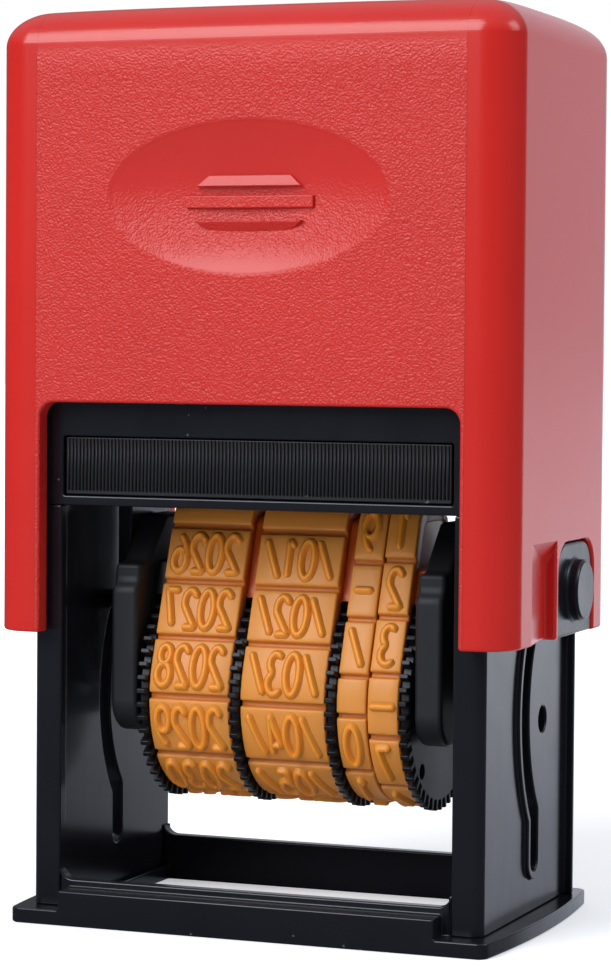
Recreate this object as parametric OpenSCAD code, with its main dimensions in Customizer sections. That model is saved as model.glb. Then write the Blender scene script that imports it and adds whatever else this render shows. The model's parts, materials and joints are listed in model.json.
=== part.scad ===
// Press-down date stamp with a sliding ink tray and a turning unit of four date bands.
// Millimetres. Z is up, the front faces -Y, and the origin is under the middle of the base.
// The cover is drawn raised, with the date face turned up against the ink pad.

/* [Frame] */
// Width over the posts of the two cheeks
frame_w = 44.8; // [44.2:0.1:46]
// Depth over the posts of a cheek
frame_d = 26.2; // [25.8:0.1:28]
// Height of the cheeks' top edge above the desk
frame_h = 38.1; // [37.8:0.1:39]
// Thickness of a cheek's panel
panel_t = 2.1; // [1.8:0.05:2.4]
// How far a rear post stands out past the panel
post_reach = 0.75; // [0.55:0.05:0.95]
// How far a front post stands in past the panel
post_in = 0.7; // [0.4:0.05:0.9]
// Thickness of a post
post_t = 1.3; // [1:0.1:1.8]
// Radius of the frame's upright corners
frame_r = 1; // [0.8:0.1:1.4]
// Height of the rim round the cam slot
rim_h = 0.4; // [0.15:0.05:0.65]
// Width of that rim
rim_t = 0.75; // [0.5:0.05:0.9]

/* [Base] */
// Thickness of the foot
base_t = 1.4; // [1:0.1:2]
// How far the foot stands out past the frame at the front and rear
base_reach = 2.3; // [1.8:0.1:3]
// How far the foot stands out past the frame at its corners
base_side = 0.35; // [0.2:0.05:1]
// Extra bulge of the foot's sides
base_bulge = 1; // [0.6:0.1:2]
// Height of the front and rear rails
rail_h = 3.2; // [2.4:0.1:4]
// Length of the rails
rail_w = 36; // [30:0.5:37]
// Height of the sill between the front posts
front_sill_h = 3.9; // [3.4:0.1:4.6]
// Height of the sill between the rear posts
rear_sill_h = 4.4; // [3.4:0.1:4.8]
// Radius of the windows' corners over the sills
sill_r = 1.3; // [0.8:0.1:2]

/* [Cover] */
// Thickness of the cover's walls
cover_wall = 1.85; // [1.6:0.05:2.2]
// Gap between the cover and the frame
cover_gap = 0.5; // [0.4:0.05:0.6]
// Height of the cover's lower edge when raised
cover_low = 26.6; // [26:0.1:27.4]
// Height of the cover's top when raised
cover_high = 83.5; // [81:0.5:88]
// Radius of the cover's upright edges
corner_r = 3.4; // [2.4:0.1:4]
// Radius of the cover's top edges
top_r = 3.9; // [3.4:0.1:5.4]
// How far the top falls from its middle to its sides
cover_crown = 0.6; // [0.4:0.1:1.2]
// How far the top falls from its middle to its front and rear
cover_bow = 0.9; // [0.4:0.1:1.2]
// Width of the front and rear windows
window_w = 40; // [38.8:0.1:41]
// Height of the windows' top edge when raised
window_high = 47.5; // [46.6:0.1:49]
// Corner radius of the windows
window_r = 1.4; // [0.8:0.1:2.4]
// Width of the thumb dish
dish_w = 27; // [22:0.2:30]
// Height of the thumb dish
dish_h = 13.8; // [11:0.2:15]
// Depth of the thumb dish
dish_depth = 1.3; // [0.8:0.1:1.5]
// Distance from the top of the cover to the middle of the dish
dish_drop = 17.7; // [16:0.1:19]
// Depth of the finger scoop beside each lock button
scoop_depth = 1.1; // [0.6:0.1:1.2]

/* [Locks] */
// How far the lock buttons sit behind the middle
lock_y = 4.4; // [4.2:0.1:4.8]
// Height of the lock buttons above the cover's lower edge
lock_rise = 4.1; // [4:0.05:4.4]
// Diameter of a lock button
button_d = 5.6; // [4.8:0.1:6.4]
// How far a raised button stands out of its plate
button_out = 1.1; // [1:0.1:2]
// Width of the plate round a button
lock_margin = 1.6; // [1.2:0.1:2]
// How far a button can be pushed in
lock_in = 0.5; // [0.3:0.05:0.7]
// Diameter of the lock pin behind the button
lock_pin_d = 1.8; // [1.4:0.1:2]

/* [Ink] */
// Height of the pad housing above the cheeks
housing_h = 11.9; // [11:0.1:13]
// Thickness of the housing's floor, which shows as the lip under the tray
lip_t = 0.9; // [0.7:0.05:1.1]
// Height of the ink tray
tray_h = 5.2; // [4.8:0.1:5.4]
// Thickness of the ink pad
pad_t = 2.9; // [2:0.1:3.4]
// Width of the ink pad
pad_w = 27.8; // [26.8:0.1:28.4]
// Depth of the ink pad from front to rear
pad_d = 14.6; // [13:0.1:15]
// Thickness of the housing's walls
housing_wall = 1.6; // [1.2:0.1:2]

/* [Motion] */
// Travel of the cover
press_travel = 12; // [11.8:0.1:12.4]
// Distance from the pivot to the guide pegs
guide_r = 3; // [2.8:0.05:3.1]
// Diameter of a guide peg
peg_d = 1.8; // [1.5:0.05:2]
// Gap all round a guide peg in the cam slot
peg_gap = 0.15; // [0.1:0.01:0.25]
// How far the cam slot runs on below the peg's lowest place
slot_tail = 4.2; // [2:0.1:5]
// How far the turning unit sits behind the middle
unit_y = 1; // [0.7:0.1:1.2]

/* [Date wheels] */
// Distance from the date face to the wheel axle
wheel_drop = 18.6; // [18.3:0.05:18.8]
// Radius over the teeth of a thumbwheel
wheel_r = 10.1; // [9.9:0.1:10.2]
// Number of teeth on a thumbwheel
wheel_teeth = 50; // [40:1:60]
// Height of a tooth
tooth_h = 0.85; // [0.5:0.05:1]
// Thickness of a toothed disc
disc_t = 0.85; // [0.6:0.05:0.9]
// Diameter of the wheel axle
axle_d = 2.5; // [2:0.1:2.8]
// Radius of the bands' inner face on the drums
drum_r = 8; // [7.8:0.1:8.2]

/* [Date bands] */
// Thickness of a band without its figures
band_t = 1.5; // [1.2:0.1:1.7]
// Height of the raised figures
figure_h = 0.6; // [0.4:0.05:0.7]
// Number of cells on a band
band_cells = 13; // [11:1:14]
// Half of the flat stretch over the platen
platen_half = 1.8; // [1.5:0.1:2]
// Width of the year band
year_w = 7.9; // [7.6:0.05:8.15]
// Width of the month band
month_w = 8.2; // [7.9:0.05:8.25]
// Width of the tens band
tens_w = 2.8; // [2.6:0.05:2.85]
// Width of the units band
units_w = 2.9; // [2.7:0.05:2.95]
// Width of the groove between two cells
groove_w = 0.5; // [0.3:0.05:0.8]
// Depth of that groove
groove_d = 0.55; // [0.3:0.05:0.8]
// How far each band has run down past its rest place: year, month, tens, units
band_run = [2.05, 2.35, -0.35, -0.65];
// Place of the short cell on the tens band, counted from the platen
short_cell = 4; // [2:1:8]
// How much shorter that cell is
short_by = 2.1; // [0:0.1:2.4]

/* [Spring] */
// Diameter of the return spring's wire
wire_d = 0.9; // [0.7:0.05:1]
// Mean radius of its coils
coil_r = 5.2; // [4.9:0.1:5.6]
// Number of coils
coil_turns = 9; // [7:1:10]
// Height of the post inside its lower coils
spring_post_h = 9; // [5:0.5:12]

/* [Hidden] */
$fn = 64;
// Clearances
side_gap = 0.15;
plate_gap = 0.4;
arm_gap = 0.3;
turn_gap = 0.05;
drum_gap = 0.15;
slide_gap = 0.1;
pad_touch = 0.1;

// Frame and cover
half_w = frame_w / 2;
half_d = frame_d / 2;
panel_out = half_w - post_reach;
panel_in = panel_out - panel_t;
cheek_in = panel_in - post_in;
base_w = frame_w + 2 * base_side;
base_d = frame_d + 2 * base_reach;
bulge_r = (base_d * base_d / 4 + base_bulge * base_bulge) / (2 * base_bulge);
cover_x = half_w + cover_gap + cover_wall;
cover_y = half_d + cover_gap + cover_wall;
cover_in_x = cover_x - cover_wall;
cover_in_y = cover_y - cover_wall;
roof_in = cover_high - cover_wall;
crown_r = (cover_x * cover_x + cover_crown * cover_crown) / (2 * cover_crown);
bow_r = (cover_y * cover_y + cover_bow * cover_bow) / (2 * cover_bow);
dish_z = cover_high - dish_drop;
dish_rx = dish_w * dish_w / (8 * dish_depth);
dish_rz = dish_h * dish_h / (8 * dish_depth);
ridge_step = 2;
ridge_drop = 0.5;
ridge_t = 1;
ridge_deep = 1.3;
ridge_w = [9.4, 12.2, 9.4];
boss_x = 9;
boss_r = 2;
arch_rim = 0.9;
arch_wide = 1;
arch_corner = 0.6;

// Pad housing and tray
lip_top = frame_h + lip_t;
tunnel_top = lip_top + tray_h + 2 * slide_gap;
housing_roof = tunnel_top + 2;
housing_top = frame_h + housing_h;
tray_low = lip_top + slide_gap;
tray_half = cheek_in - 0.35;
tray_front = half_d - 0.2;
tray_slack = 2;
rear_wall = half_d - housing_wall;
pad_low = lip_top + 0.05;
pad_y = -0.2;
pad_margin = 0.5;

// Pivot of the turning unit: the platen reaches from the pad to the desk in one half turn
platen_rest = pad_low - pad_touch;
axle_z = (platen_rest + press_travel) / 2;
wheel_z = platen_rest - wheel_drop;
slot_half = peg_d / 2 + peg_gap;
lock_z = cover_low + lock_rise;
lock_plate_r = button_d / 2 + lock_margin;
scoop_end = lock_y - lock_plate_r - arch_wide - arch_rim;

// Stack of discs and bands, from left to right
stack_w = 4 * disc_t + year_w + month_w + tens_w + units_w + 7 * side_gap;
year_x = -stack_w / 2 + disc_t + side_gap;
month_x = year_x + year_w + side_gap + disc_t + side_gap;
tens_x = month_x + month_w + side_gap + disc_t + side_gap;
units_x = tens_x + tens_w + side_gap;
plate_in = stack_w / 2 + plate_gap;
plate_t = 2.6;
plate_out = plate_in + plate_t;
arm_in = plate_out + arm_gap;
arm_t = 1.4;
arm_out = arm_in + arm_t;
arm_half = 4;
hub_r = guide_r + slot_half + 1.3;
trunnion_r = 1.25;

// Side plates of the turning unit, measured from the wheel axle
plate_half = 9.2;
plate_low = -3.4;
plate_high = 16.5;
plate_shoulder = 9.9;
plate_top_half = 2.5;
plate_round = 3;
tab_half = 1.5;
tab_low = 10.6;
tab_high = 12.2;
lug_half = 8.4;
disc_room = 0.4;

// Band loop, measured from the wheel axle: a drum, two slanting runs and a flat over the platen
edge_r = 1;
loop_top = platen_rest - figure_h - band_t - wheel_z;
edge_z = loop_top - edge_r;
edge_far = sqrt(platen_half * platen_half + edge_z * edge_z);
run_angle = atan2(platen_half, edge_z) + acos((drum_r - edge_r) / edge_far);
run_len = sqrt(edge_far * edge_far - (drum_r - edge_r) * (drum_r - edge_r));
edge_len = run_angle * PI / 180 * (edge_r + band_t / 2);
drum_len = (180 - run_angle) * PI / 180 * (drum_r + band_t / 2);
half_loop = platen_half + edge_len + run_len + drum_len;
cell_len = 2 * half_loop / band_cells;

frame_black = "#202125";
cover_red = "#d62f28";
band_orange = "#e0913a";

// A block between two corners
module block(low, high) {
    translate(low)
        cube(high - low);
}

// A flat shape in Y and Z, drawn out along X
module along_x(start, width) {
    translate([start, 0, 0])
        rotate([90, 0, 90])
            linear_extrude(width)
                children();
}

// A flat shape in X and Z, drawn out along Y
module along_y(start, depth) {
    translate([0, start + depth, 0])
        rotate([90, 0, 0])
            linear_extrude(depth)
                children();
}

// A flat rectangle with round corners
module rounded(width, height, radius) {
    square([width - 2 * radius, height], center = true);
    square([width, height - 2 * radius], center = true);
    for (x = [-1, 1], y = [-1, 1])
        translate([x * (width / 2 - radius), y * (height / 2 - radius)])
            circle(radius);
}

// The same piece on the other side
module handed(left) {
    if (left)
        mirror([1, 0, 0])
            children();
    else
        children();
}

// Foot with bulged sides
module foot_outline() {
    square([base_w, base_d], center = true);
    for (s = [-1, 1])
        intersection() {
            translate([s * (base_w / 2 + base_bulge - bulge_r), 0])
                circle(bulge_r, $fn = 720);
            translate([s * (base_w / 2 + base_bulge / 2 - 0.5), 0])
                square([base_bulge + 1.4, base_d], center = true);
        }
}

// Cross bar between two posts, with round corners up to them
module sill(start, reach, top) {
    above = frame_h;
    corner_share = 0.7;
    along_y(start, post_t)
        difference() {
            translate([-reach, 0])
                square([2 * reach, top + corner_share * sill_r]);
            translate([0, top + above / 2])
                rounded(2 * reach, above, sill_r);
        }
}

module base() {
    color(frame_black) {
        linear_extrude(base_t)
            difference() {
                foot_outline();
                square([2 * cheek_in, frame_d], center = true);
            }
        for (s = [-1, 1])
            translate([0, s * (half_d + base_reach / 2), rail_h / 2])
                cube([rail_w, base_reach, rail_h], center = true);
        sill(-half_d, cheek_in, front_sill_h);
        sill(half_d - post_t, panel_in, rear_sill_h);
    }
}

// Path of a guide peg: the pivot sinks by the travel while the unit makes half a turn
function peg_at(turn) = [
    unit_y - guide_r * sin(turn),
    axle_z - press_travel * turn / 180 + guide_r * cos(turn)];
function peg_step(turn) = [
    -guide_r * cos(turn),
    -press_travel / PI - guide_r * sin(turn)];
function beside_peg(turn, aside) =
    peg_at(turn) + aside * [-peg_step(turn)[1], peg_step(turn)[0]] / norm(peg_step(turn));

module cam_slot(half) {
    steps = 30;
    near = [for (i = [0:steps]) beside_peg(180 * i / steps, half)];
    far = [for (i = [steps:-1:0]) beside_peg(180 * i / steps, -half)];
    polygon(concat(near, far));
    for (turn = [0, 180])
        translate(peg_at(turn))
            circle(half);
    translate(peg_at(180) - [half, slot_tail])
        square([2 * half, slot_tail]);
    translate(peg_at(180) - [0, slot_tail])
        circle(half);
}

// Upright block with the frame's outline and round corners
module frame_block(low, height) {
    translate([0, 0, low])
        linear_extrude(height)
            rounded(frame_w, frame_d, frame_r);
}

module cheek(left) {
    color(frame_black)
        handed(left)
            difference() {
                union() {
                    block([panel_in, -half_d + frame_r, base_t], [panel_out, half_d - frame_r, frame_h]);
                    intersection() {
                        translate([-post_reach, 0, 0])
                            frame_block(base_t, frame_h - base_t);
                        block([cheek_in, -half_d, base_t], [panel_out, -half_d + post_t, frame_h]);
                    }
                    intersection() {
                        frame_block(base_t, frame_h - base_t);
                        block([panel_in, half_d - post_t, base_t], [half_w, half_d, frame_h]);
                    }
                    along_x(panel_out - 0.5, rim_h + 0.5)
                        cam_slot(slot_half + rim_t);
                }
                along_x(panel_in - 1, panel_t + rim_h + 2)
                    cam_slot(slot_half);
                for (z = [lock_z, lock_z - press_travel])
                    translate([panel_in - 1, lock_y, z])
                        rotate([0, 90, 0])
                            cylinder(h = panel_t + 2, d = lock_pin_d + 0.6);
            }
}

module left_cheek() {
    cheek(true);
}

module right_cheek() {
    cheek(false);
}

module pad_housing() {
    color(frame_black) {
        difference() {
            frame_block(frame_h, housing_h);
            block([-cheek_in + 0.15, -half_d - 1, lip_top], [cheek_in - 0.15, rear_wall, tunnel_top]);
            translate([0, pad_y, frame_h])
                cube([pad_w + 2 * pad_margin, pad_d + 2 * pad_margin, 4 * lip_t], center = true);
            block([-half_w + housing_wall, -rear_wall, housing_roof],
                [half_w - housing_wall, rear_wall, housing_top + 1]);
            for (s = [-1, 1])
                translate([s * (arm_in + arm_out) / 2, unit_y, frame_h + housing_h / 2])
                    cube([arm_t + 0.5, 2 * arm_half + 0.8, housing_h + 2], center = true);
        }
        translate([0, unit_y, housing_roof])
            cylinder(h = spring_post_h, r = coil_r - 2 * wire_d);
    }
}

// Rounded box of the cover, or its inside when thinned by a wall
module cover_box(thin, low) {
    wide = 2 * (cover_x - thin);
    deep = 2 * (cover_y - thin);
    high = cover_high - thin;
    tall = high - low;
    intersection() {
        translate([0, 0, low])
            linear_extrude(tall)
                rounded(wide, deep, corner_r - thin);
        along_y(-deep, 2 * deep)
            translate([0, high - tall])
                rounded(wide, 2 * tall, top_r - thin);
        along_x(-wide, 2 * wide)
            translate([0, high - tall])
                rounded(deep, 2 * tall, top_r - thin);
    }
}

// Shallow lens that cuts the thumb dish
module dish() {
    long = dish_w;
    translate([0, dish_depth - dish_rz - cover_y, dish_z])
        rotate([0, 90, 0])
            rotate_extrude($fn = 180)
                intersection() {
                    translate([dish_rz - dish_rx, 0])
                        circle(dish_rx, $fn = 360);
                    translate([0, -long])
                        square([dish_rz + 1, 2 * long]);
                }
}

// Arch round a lock button, open at the bottom
module lock_arch(radius, drop) {
    half = radius + arch_wide;
    intersection() {
        translate([lock_y, lock_z])
            rounded(2 * half, 2 * radius, arch_corner * radius);
        translate([lock_y - half, lock_z])
            square([2 * half, radius]);
    }
    translate([lock_y - half, lock_z - drop])
        square([2 * half, drop + radius / 4]);
}

module cover() {
    color(cover_red) {
        difference() {
            intersection() {
                cover_box(0, cover_low);
                along_y(-2 * cover_y, 4 * cover_y)
                    translate([0, cover_high - crown_r])
                        circle(crown_r, $fn = 720);
                along_x(-2 * cover_x, 4 * cover_x)
                    translate([0, cover_high - bow_r])
                        circle(bow_r, $fn = 720);
            }
            cover_box(cover_wall, cover_low - 10);
            along_y(-cover_y - 1, 2 * cover_y + 2)
                translate([0, window_high - 50])
                    rounded(window_w, 100, window_r);
            dish();
            for (left = [true, false])
                handed(left) {
                    along_x(cover_in_x - 1, cover_wall + 2)
                        lock_arch(lock_plate_r + slide_gap, 20);
                    translate([0, 0, cover_low - 1])
                        linear_extrude(lock_rise + lock_plate_r + 1 + arch_rim)
                            polygon([
                                [cover_x + 0.2, -cover_in_y + 2.4],
                                [cover_x - scoop_depth, scoop_end],
                                [cover_x + 0.2, scoop_end]]);
                }
        }
        for (i = [-1, 0, 1])
            translate([0, -cover_y + dish_depth, dish_z - ridge_drop + i * ridge_step])
                cube([ridge_w[i + 1], ridge_deep, ridge_t], center = true);
        for (x = [-boss_x, boss_x])
            translate([x, unit_y, roof_in - 2.6])
                cylinder(h = 3, r = boss_r);
    }
}

module carriage() {
    plate_low_z = roof_in - 2;
    color(frame_black) {
        difference() {
            block([-arm_out, unit_y - 6, plate_low_z], [arm_out, unit_y + 6, roof_in]);
            for (x = [-boss_x, boss_x])
                translate([x, unit_y, plate_low_z - 1])
                    cylinder(h = 4, r = boss_r + turn_gap);
        }
        translate([0, unit_y, plate_low_z - 1.6])
            linear_extrude(1.7)
                difference() {
                    circle(coil_r + wire_d / 2 + 1.3);
                    circle(coil_r + wire_d / 2 + 0.3);
                }
        for (left = [true, false])
            handed(left)
                along_x(arm_in, arm_t)
                    difference() {
                        union() {
                            translate([unit_y - arm_half, axle_z])
                                square([2 * arm_half, plate_low_z + 1 - axle_z]);
                            translate([unit_y, axle_z])
                                circle(hub_r);
                        }
                        translate([unit_y, axle_z])
                            arm_holes();
                    }
    }
}

// Pivot hole, and the half ring in front of it that lets the guide peg swing
module arm_holes() {
    circle(trunnion_r + turn_gap);
    intersection() {
        difference() {
            circle(guide_r + slot_half);
            circle(guide_r - slot_half);
        }
        translate([-hub_r, -hub_r])
            square([hub_r, 2 * hub_r]);
    }
    for (z = [-guide_r, guide_r])
        translate([0, z])
            circle(slot_half);
}

// Coil spring as one helical tube
spring_low = housing_roof + wire_d / 2 + 0.05;
spring_high = roof_in - 2 - wire_d / 2 - 0.05;
spring_sides = 6;
spring_rings = 8 * coil_turns;
function coil_at(i) = [
    coil_r * cos(360 * i / 8),
    unit_y + coil_r * sin(360 * i / 8),
    spring_low + (spring_high - spring_low) * i / spring_rings];
function coil_point(i, j) =
    let (turn = 360 * i / 8, side = 360 * j / spring_sides)
    coil_at(i) + wire_d / 2 * [cos(side) * cos(turn), cos(side) * sin(turn), sin(side)];
spring_self_gap = (spring_high - spring_low) / coil_turns - wire_d;
echo(least_gap_between_coils = spring_self_gap);

module return_spring() {
    points = [for (i = [0:spring_rings], j = [0:spring_sides - 1]) coil_point(i, j)];
    skin = [for (i = [0:spring_rings - 1], j = [0:spring_sides - 1])
        let (a = i * spring_sides + j, b = i * spring_sides + (j + 1) % spring_sides)
        each [[a, a + spring_sides, b], [b, a + spring_sides, b + spring_sides]]];
    first = [for (j = [0:spring_sides - 1]) j];
    last = [for (j = [spring_sides - 1:-1:0]) spring_rings * spring_sides + j];
    color("silver")
        polyhedron(points, concat([first], skin, [last]), convexity = 10);
}

module lock(left) {
    flange_in = panel_out + lock_in + 0.1;
    pin_in = panel_out + 0.15;
    color(frame_black)
        handed(left) {
            along_x(cover_in_x - 0.1, cover_wall - 0.1)
                lock_arch(lock_plate_r, lock_rise);
            along_x(flange_in, cover_in_x - 0.1 - flange_in)
                intersection() {
                    lock_arch(lock_plate_r + 0.8, lock_rise);
                    translate([lock_y - 1.4, cover_low - 10])
                        square([10, 30]);
                }
            translate([cover_in_x, lock_y, lock_z])
                rotate([0, 90, 0])
                    cylinder(h = cover_wall - 0.2 + button_out, d = button_d);
            translate([pin_in, lock_y, lock_z])
                rotate([0, 90, 0])
                    cylinder(h = cover_in_x - pin_in, d = lock_pin_d);
        }
}

module left_lock() {
    lock(true);
}

module right_lock() {
    lock(false);
}

module ink_tray() {
    body_half = arm_in - 0.75;
    body_rear = rear_wall - tray_slack;
    plate_deep = 1.6;
    color(frame_black)
        difference() {
            union() {
                block([-tray_half, -tray_front, tray_low],
                    [tray_half, -tray_front + plate_deep, tray_low + tray_h]);
                block([-body_half, -tray_front + plate_deep - 0.5, tray_low],
                    [body_half, body_rear, tray_low + tray_h]);
            }
            pad_block(tray_low - 1);
        }
}

// Block of the ink pad, from some height up to its top
module pad_block(low) {
    translate([0, pad_y, 0])
        block([-pad_w / 2, -pad_d / 2, low], [pad_w / 2, pad_d / 2, pad_low + pad_t]);
}

module ink_pad() {
    color("#2b2333")
        pad_block(pad_low);
}

// Outline of a side plate, measured from the wheel axle
module plate_outline() {
    corner = plate_half - plate_round;
    difference() {
        union() {
            polygon([
                [-plate_half, plate_low + plate_round], [plate_half, plate_low + plate_round],
                [plate_half, plate_shoulder], [plate_top_half, plate_high],
                [-plate_top_half, plate_high], [-plate_half, plate_shoulder]]);
            translate([-corner, plate_low])
                square([2 * corner, plate_round + 1]);
            for (s = [-1, 1])
                translate([s * corner, plate_low + plate_round])
                    circle(plate_round);
            translate([-lug_half, tab_low])
                square([2 * lug_half, tab_high - tab_low]);
        }
        circle(d = axle_d);
        translate([-tab_half, tab_low])
            square([2 * tab_half, tab_high - tab_low]);
    }
}

module plate(left) {
    color(frame_black)
        handed(left) {
            along_x(plate_in, plate_t)
                translate([unit_y, wheel_z])
                    plate_outline();
            translate([plate_out - 0.5, unit_y, axle_z])
                rotate([0, 90, 0])
                    cylinder(h = arm_out - plate_out + 0.7, r = trunnion_r);
            translate([plate_out - 0.5, unit_y, axle_z + guide_r])
                rotate([0, 90, 0])
                    cylinder(h = panel_out + rim_h - 0.2 - plate_out + 0.5, d = peg_d);
        }
}

module left_plate() {
    plate(true);
}

module right_plate() {
    plate(false);
}

// Solid outline of a band loop whose inner face is pushed out by some thickness
module loop_outline(push) {
    big = drum_r + push;
    small = edge_r + push;
    side = [sin(run_angle), cos(run_angle)];
    corner = [platen_half, edge_z];
    circle(big);
    for (s = [-1, 1])
        translate([s * platen_half, edge_z])
            circle(small);
    polygon([
        big * side, corner + small * side, corner + [0, small],
        [-corner[0], corner[1] + small], [-corner[0] - small * side[0], corner[1] + small * side[1]],
        [-big * side[0], big * side[1]]]);
}

// Place on a band's outer face at a length along its loop from the platen: [y, z, lean]
function loop_side(s) =
    let (big = drum_r + band_t, small = edge_r + band_t, corner = [platen_half, edge_z])
    s < platen_half ? [s, edge_z + small, 0] :
    s < platen_half + edge_len ?
        let (a = run_angle * (s - platen_half) / edge_len)
        [platen_half + small * sin(a), edge_z + small * cos(a), a] :
    s < platen_half + edge_len + run_len ?
        let (d = s - platen_half - edge_len)
        [platen_half + small * sin(run_angle) + d * cos(run_angle),
            edge_z + small * cos(run_angle) - d * sin(run_angle), run_angle] :
        let (a = run_angle + (180 - run_angle) * (s - platen_half - edge_len - run_len) / drum_len)
        [big * sin(a), big * cos(a), a];
function loop_at(s) =
    let (w = s - 2 * half_loop * floor(s / (2 * half_loop)))
    w <= half_loop ? [-loop_side(w)[0], loop_side(w)[1], loop_side(w)[2]] :
    let (p = loop_side(2 * half_loop - w)) [p[0], p[1], -p[2]];

module band(start, width, run, short = 0) {
    color(band_orange)
        along_x(start, width)
            translate([unit_y, wheel_z])
                difference() {
                    loop_outline(band_t);
                    loop_outline(0);
                    for (k = [0:band_cells - 1]) {
                        place = loop_at((k + 0.5) * cell_len + run - (k < short_cell ? 0 : short));
                        translate([place[0], place[1]])
                            rotate(place[2])
                                square([groove_w, 2 * groove_d], center = true);
                    }
                }
}

module year_band() {
    band(year_x, year_w, band_run[0]);
}

module month_band() {
    band(month_x, month_w, band_run[1]);
}

module tens_band() {
    band(tens_x, tens_w, band_run[2], short_by);
}

module units_band() {
    band(units_x, units_w, band_run[3]);
}

// Outline of the cross piece inside the loops, hollowed over the discs
module core_outline() {
    translate([unit_y, wheel_z])
        difference() {
            loop_outline(0);
            circle(wheel_r + disc_room);
            translate([-2 * drum_r, -2 * wheel_r])
                square([4 * drum_r, 2 * wheel_r]);
        }
}

// Cross piece inside the loops, with a low foot out to each side plate and a tab through it
module platen_core() {
    color("#e2701f") {
        along_x(year_x, units_x + units_w - year_x)
            core_outline();
        along_x(-plate_in, 2 * plate_in)
            intersection() {
                core_outline();
                translate([unit_y - drum_r, wheel_z])
                    square([2 * drum_r, tab_high]);
            }
        for (s = [-1, 1])
            translate([s * (plate_in + plate_t / 2), unit_y, wheel_z + (tab_low + tab_high) / 2])
                cube([plate_t, 2 * tab_half, tab_high - tab_low], center = true);
    }
}

module wheel_axle() {
    color("silver")
        translate([-plate_out, unit_y, wheel_z])
            rotate([0, 90, 0])
                cylinder(h = 2 * plate_out, d = axle_d);
}

// Toothed rim of a thumbwheel
module toothed_disc() {
    pitch = 360 / wheel_teeth;
    root = wheel_r - tooth_h;
    polygon([for (i = [0:wheel_teeth - 1], c = [[0, root], [0.3, root], [0.5, wheel_r], [0.8, wheel_r]])
        c[1] * [cos((i + c[0]) * pitch), sin((i + c[0]) * pitch)]]);
}

// Thumbwheel: a toothed disc and the drum that carries a band
module wheel(disc_start, drum_start, drum_width) {
    color(frame_black)
        translate([0, unit_y, wheel_z]) {
            along_x(disc_start, disc_t)
                difference() {
                    toothed_disc();
                    circle(d = axle_d + 2 * turn_gap);
                }
            along_x(drum_start, drum_width)
                difference() {
                    circle(drum_r - drum_gap);
                    circle(d = axle_d + 2 * turn_gap);
                }
        }
}

module year_wheel() {
    wheel(year_x - side_gap - disc_t, year_x - side_gap, year_w + side_gap);
}

module month_wheel() {
    wheel(month_x - side_gap - disc_t, month_x - side_gap, month_w + side_gap);
}

module tens_wheel() {
    wheel(tens_x - side_gap - disc_t, tens_x - side_gap, tens_w + side_gap);
}

module units_wheel() {
    wheel(units_x + units_w + side_gap, units_x, units_w + side_gap);
}

base();
left_cheek();
right_cheek();
pad_housing();
cover();
carriage();
return_spring();
left_lock();
right_lock();
ink_tray();
ink_pad();
left_plate();
right_plate();
platen_core();
wheel_axle();
year_wheel();
month_wheel();
tens_wheel();
units_wheel();
year_band();
month_band();
tens_band();
units_band();
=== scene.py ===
import json
import math

import bmesh
import bpy
from mathutils import Matrix, Vector


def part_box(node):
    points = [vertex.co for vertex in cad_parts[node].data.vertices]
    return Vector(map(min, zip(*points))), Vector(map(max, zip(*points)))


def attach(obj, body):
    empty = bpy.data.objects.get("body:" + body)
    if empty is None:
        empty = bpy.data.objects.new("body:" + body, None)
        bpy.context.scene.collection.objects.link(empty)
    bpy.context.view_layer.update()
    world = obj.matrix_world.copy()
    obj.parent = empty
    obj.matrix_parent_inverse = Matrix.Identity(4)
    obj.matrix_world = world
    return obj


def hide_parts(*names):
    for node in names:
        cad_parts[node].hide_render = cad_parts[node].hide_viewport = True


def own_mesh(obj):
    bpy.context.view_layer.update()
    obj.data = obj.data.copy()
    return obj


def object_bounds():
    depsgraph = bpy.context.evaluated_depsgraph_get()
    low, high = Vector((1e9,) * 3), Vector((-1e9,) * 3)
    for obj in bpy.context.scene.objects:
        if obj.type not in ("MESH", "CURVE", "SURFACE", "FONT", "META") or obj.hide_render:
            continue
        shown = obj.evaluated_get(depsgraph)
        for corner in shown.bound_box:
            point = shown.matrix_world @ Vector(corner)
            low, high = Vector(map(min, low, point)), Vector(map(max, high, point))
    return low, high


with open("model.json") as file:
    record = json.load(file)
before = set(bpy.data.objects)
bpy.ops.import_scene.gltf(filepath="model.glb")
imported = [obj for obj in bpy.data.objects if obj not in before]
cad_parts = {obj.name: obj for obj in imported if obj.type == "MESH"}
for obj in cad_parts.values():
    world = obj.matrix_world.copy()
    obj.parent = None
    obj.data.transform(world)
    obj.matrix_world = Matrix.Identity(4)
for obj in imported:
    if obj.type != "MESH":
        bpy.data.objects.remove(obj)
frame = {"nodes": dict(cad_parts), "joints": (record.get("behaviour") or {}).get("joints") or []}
CAD_LOW, CAD_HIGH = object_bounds()

bl_info = {
    "name": "Date stamp",
    "version": (1, 0, 0),
    "blender": (4, 5, 0),
    "location": "View3D > Sidebar > Date stamp",
    "description": "Dresses a press-down date stamp: cover, frame, ink tray, wheels, bands and stage",
    "category": "Add Mesh",
}

MM = 0.001
BANDS = ("year", "month", "tens", "units")

# How far each band is moved on along its loop
BAND_RUNS = (2.05 * MM, 2.35 * MM, -0.35 * MM, -0.65 * MM)

# How far cutters reach below the cover
CUT_REACH = 5 * MM

# Vertices closer than this become one
MERGE_DISTANCE = 0.004 * MM

# Edge radius of the tray and the platen core
SMALL_EDGE = 0.12 * MM

# Hole through the disc of the units wheel, from the axle
HOLE_PLACE = (-5.5 * MM, -5.9 * MM)
HOLE_RADIUS = 0.7 * MM

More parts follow.
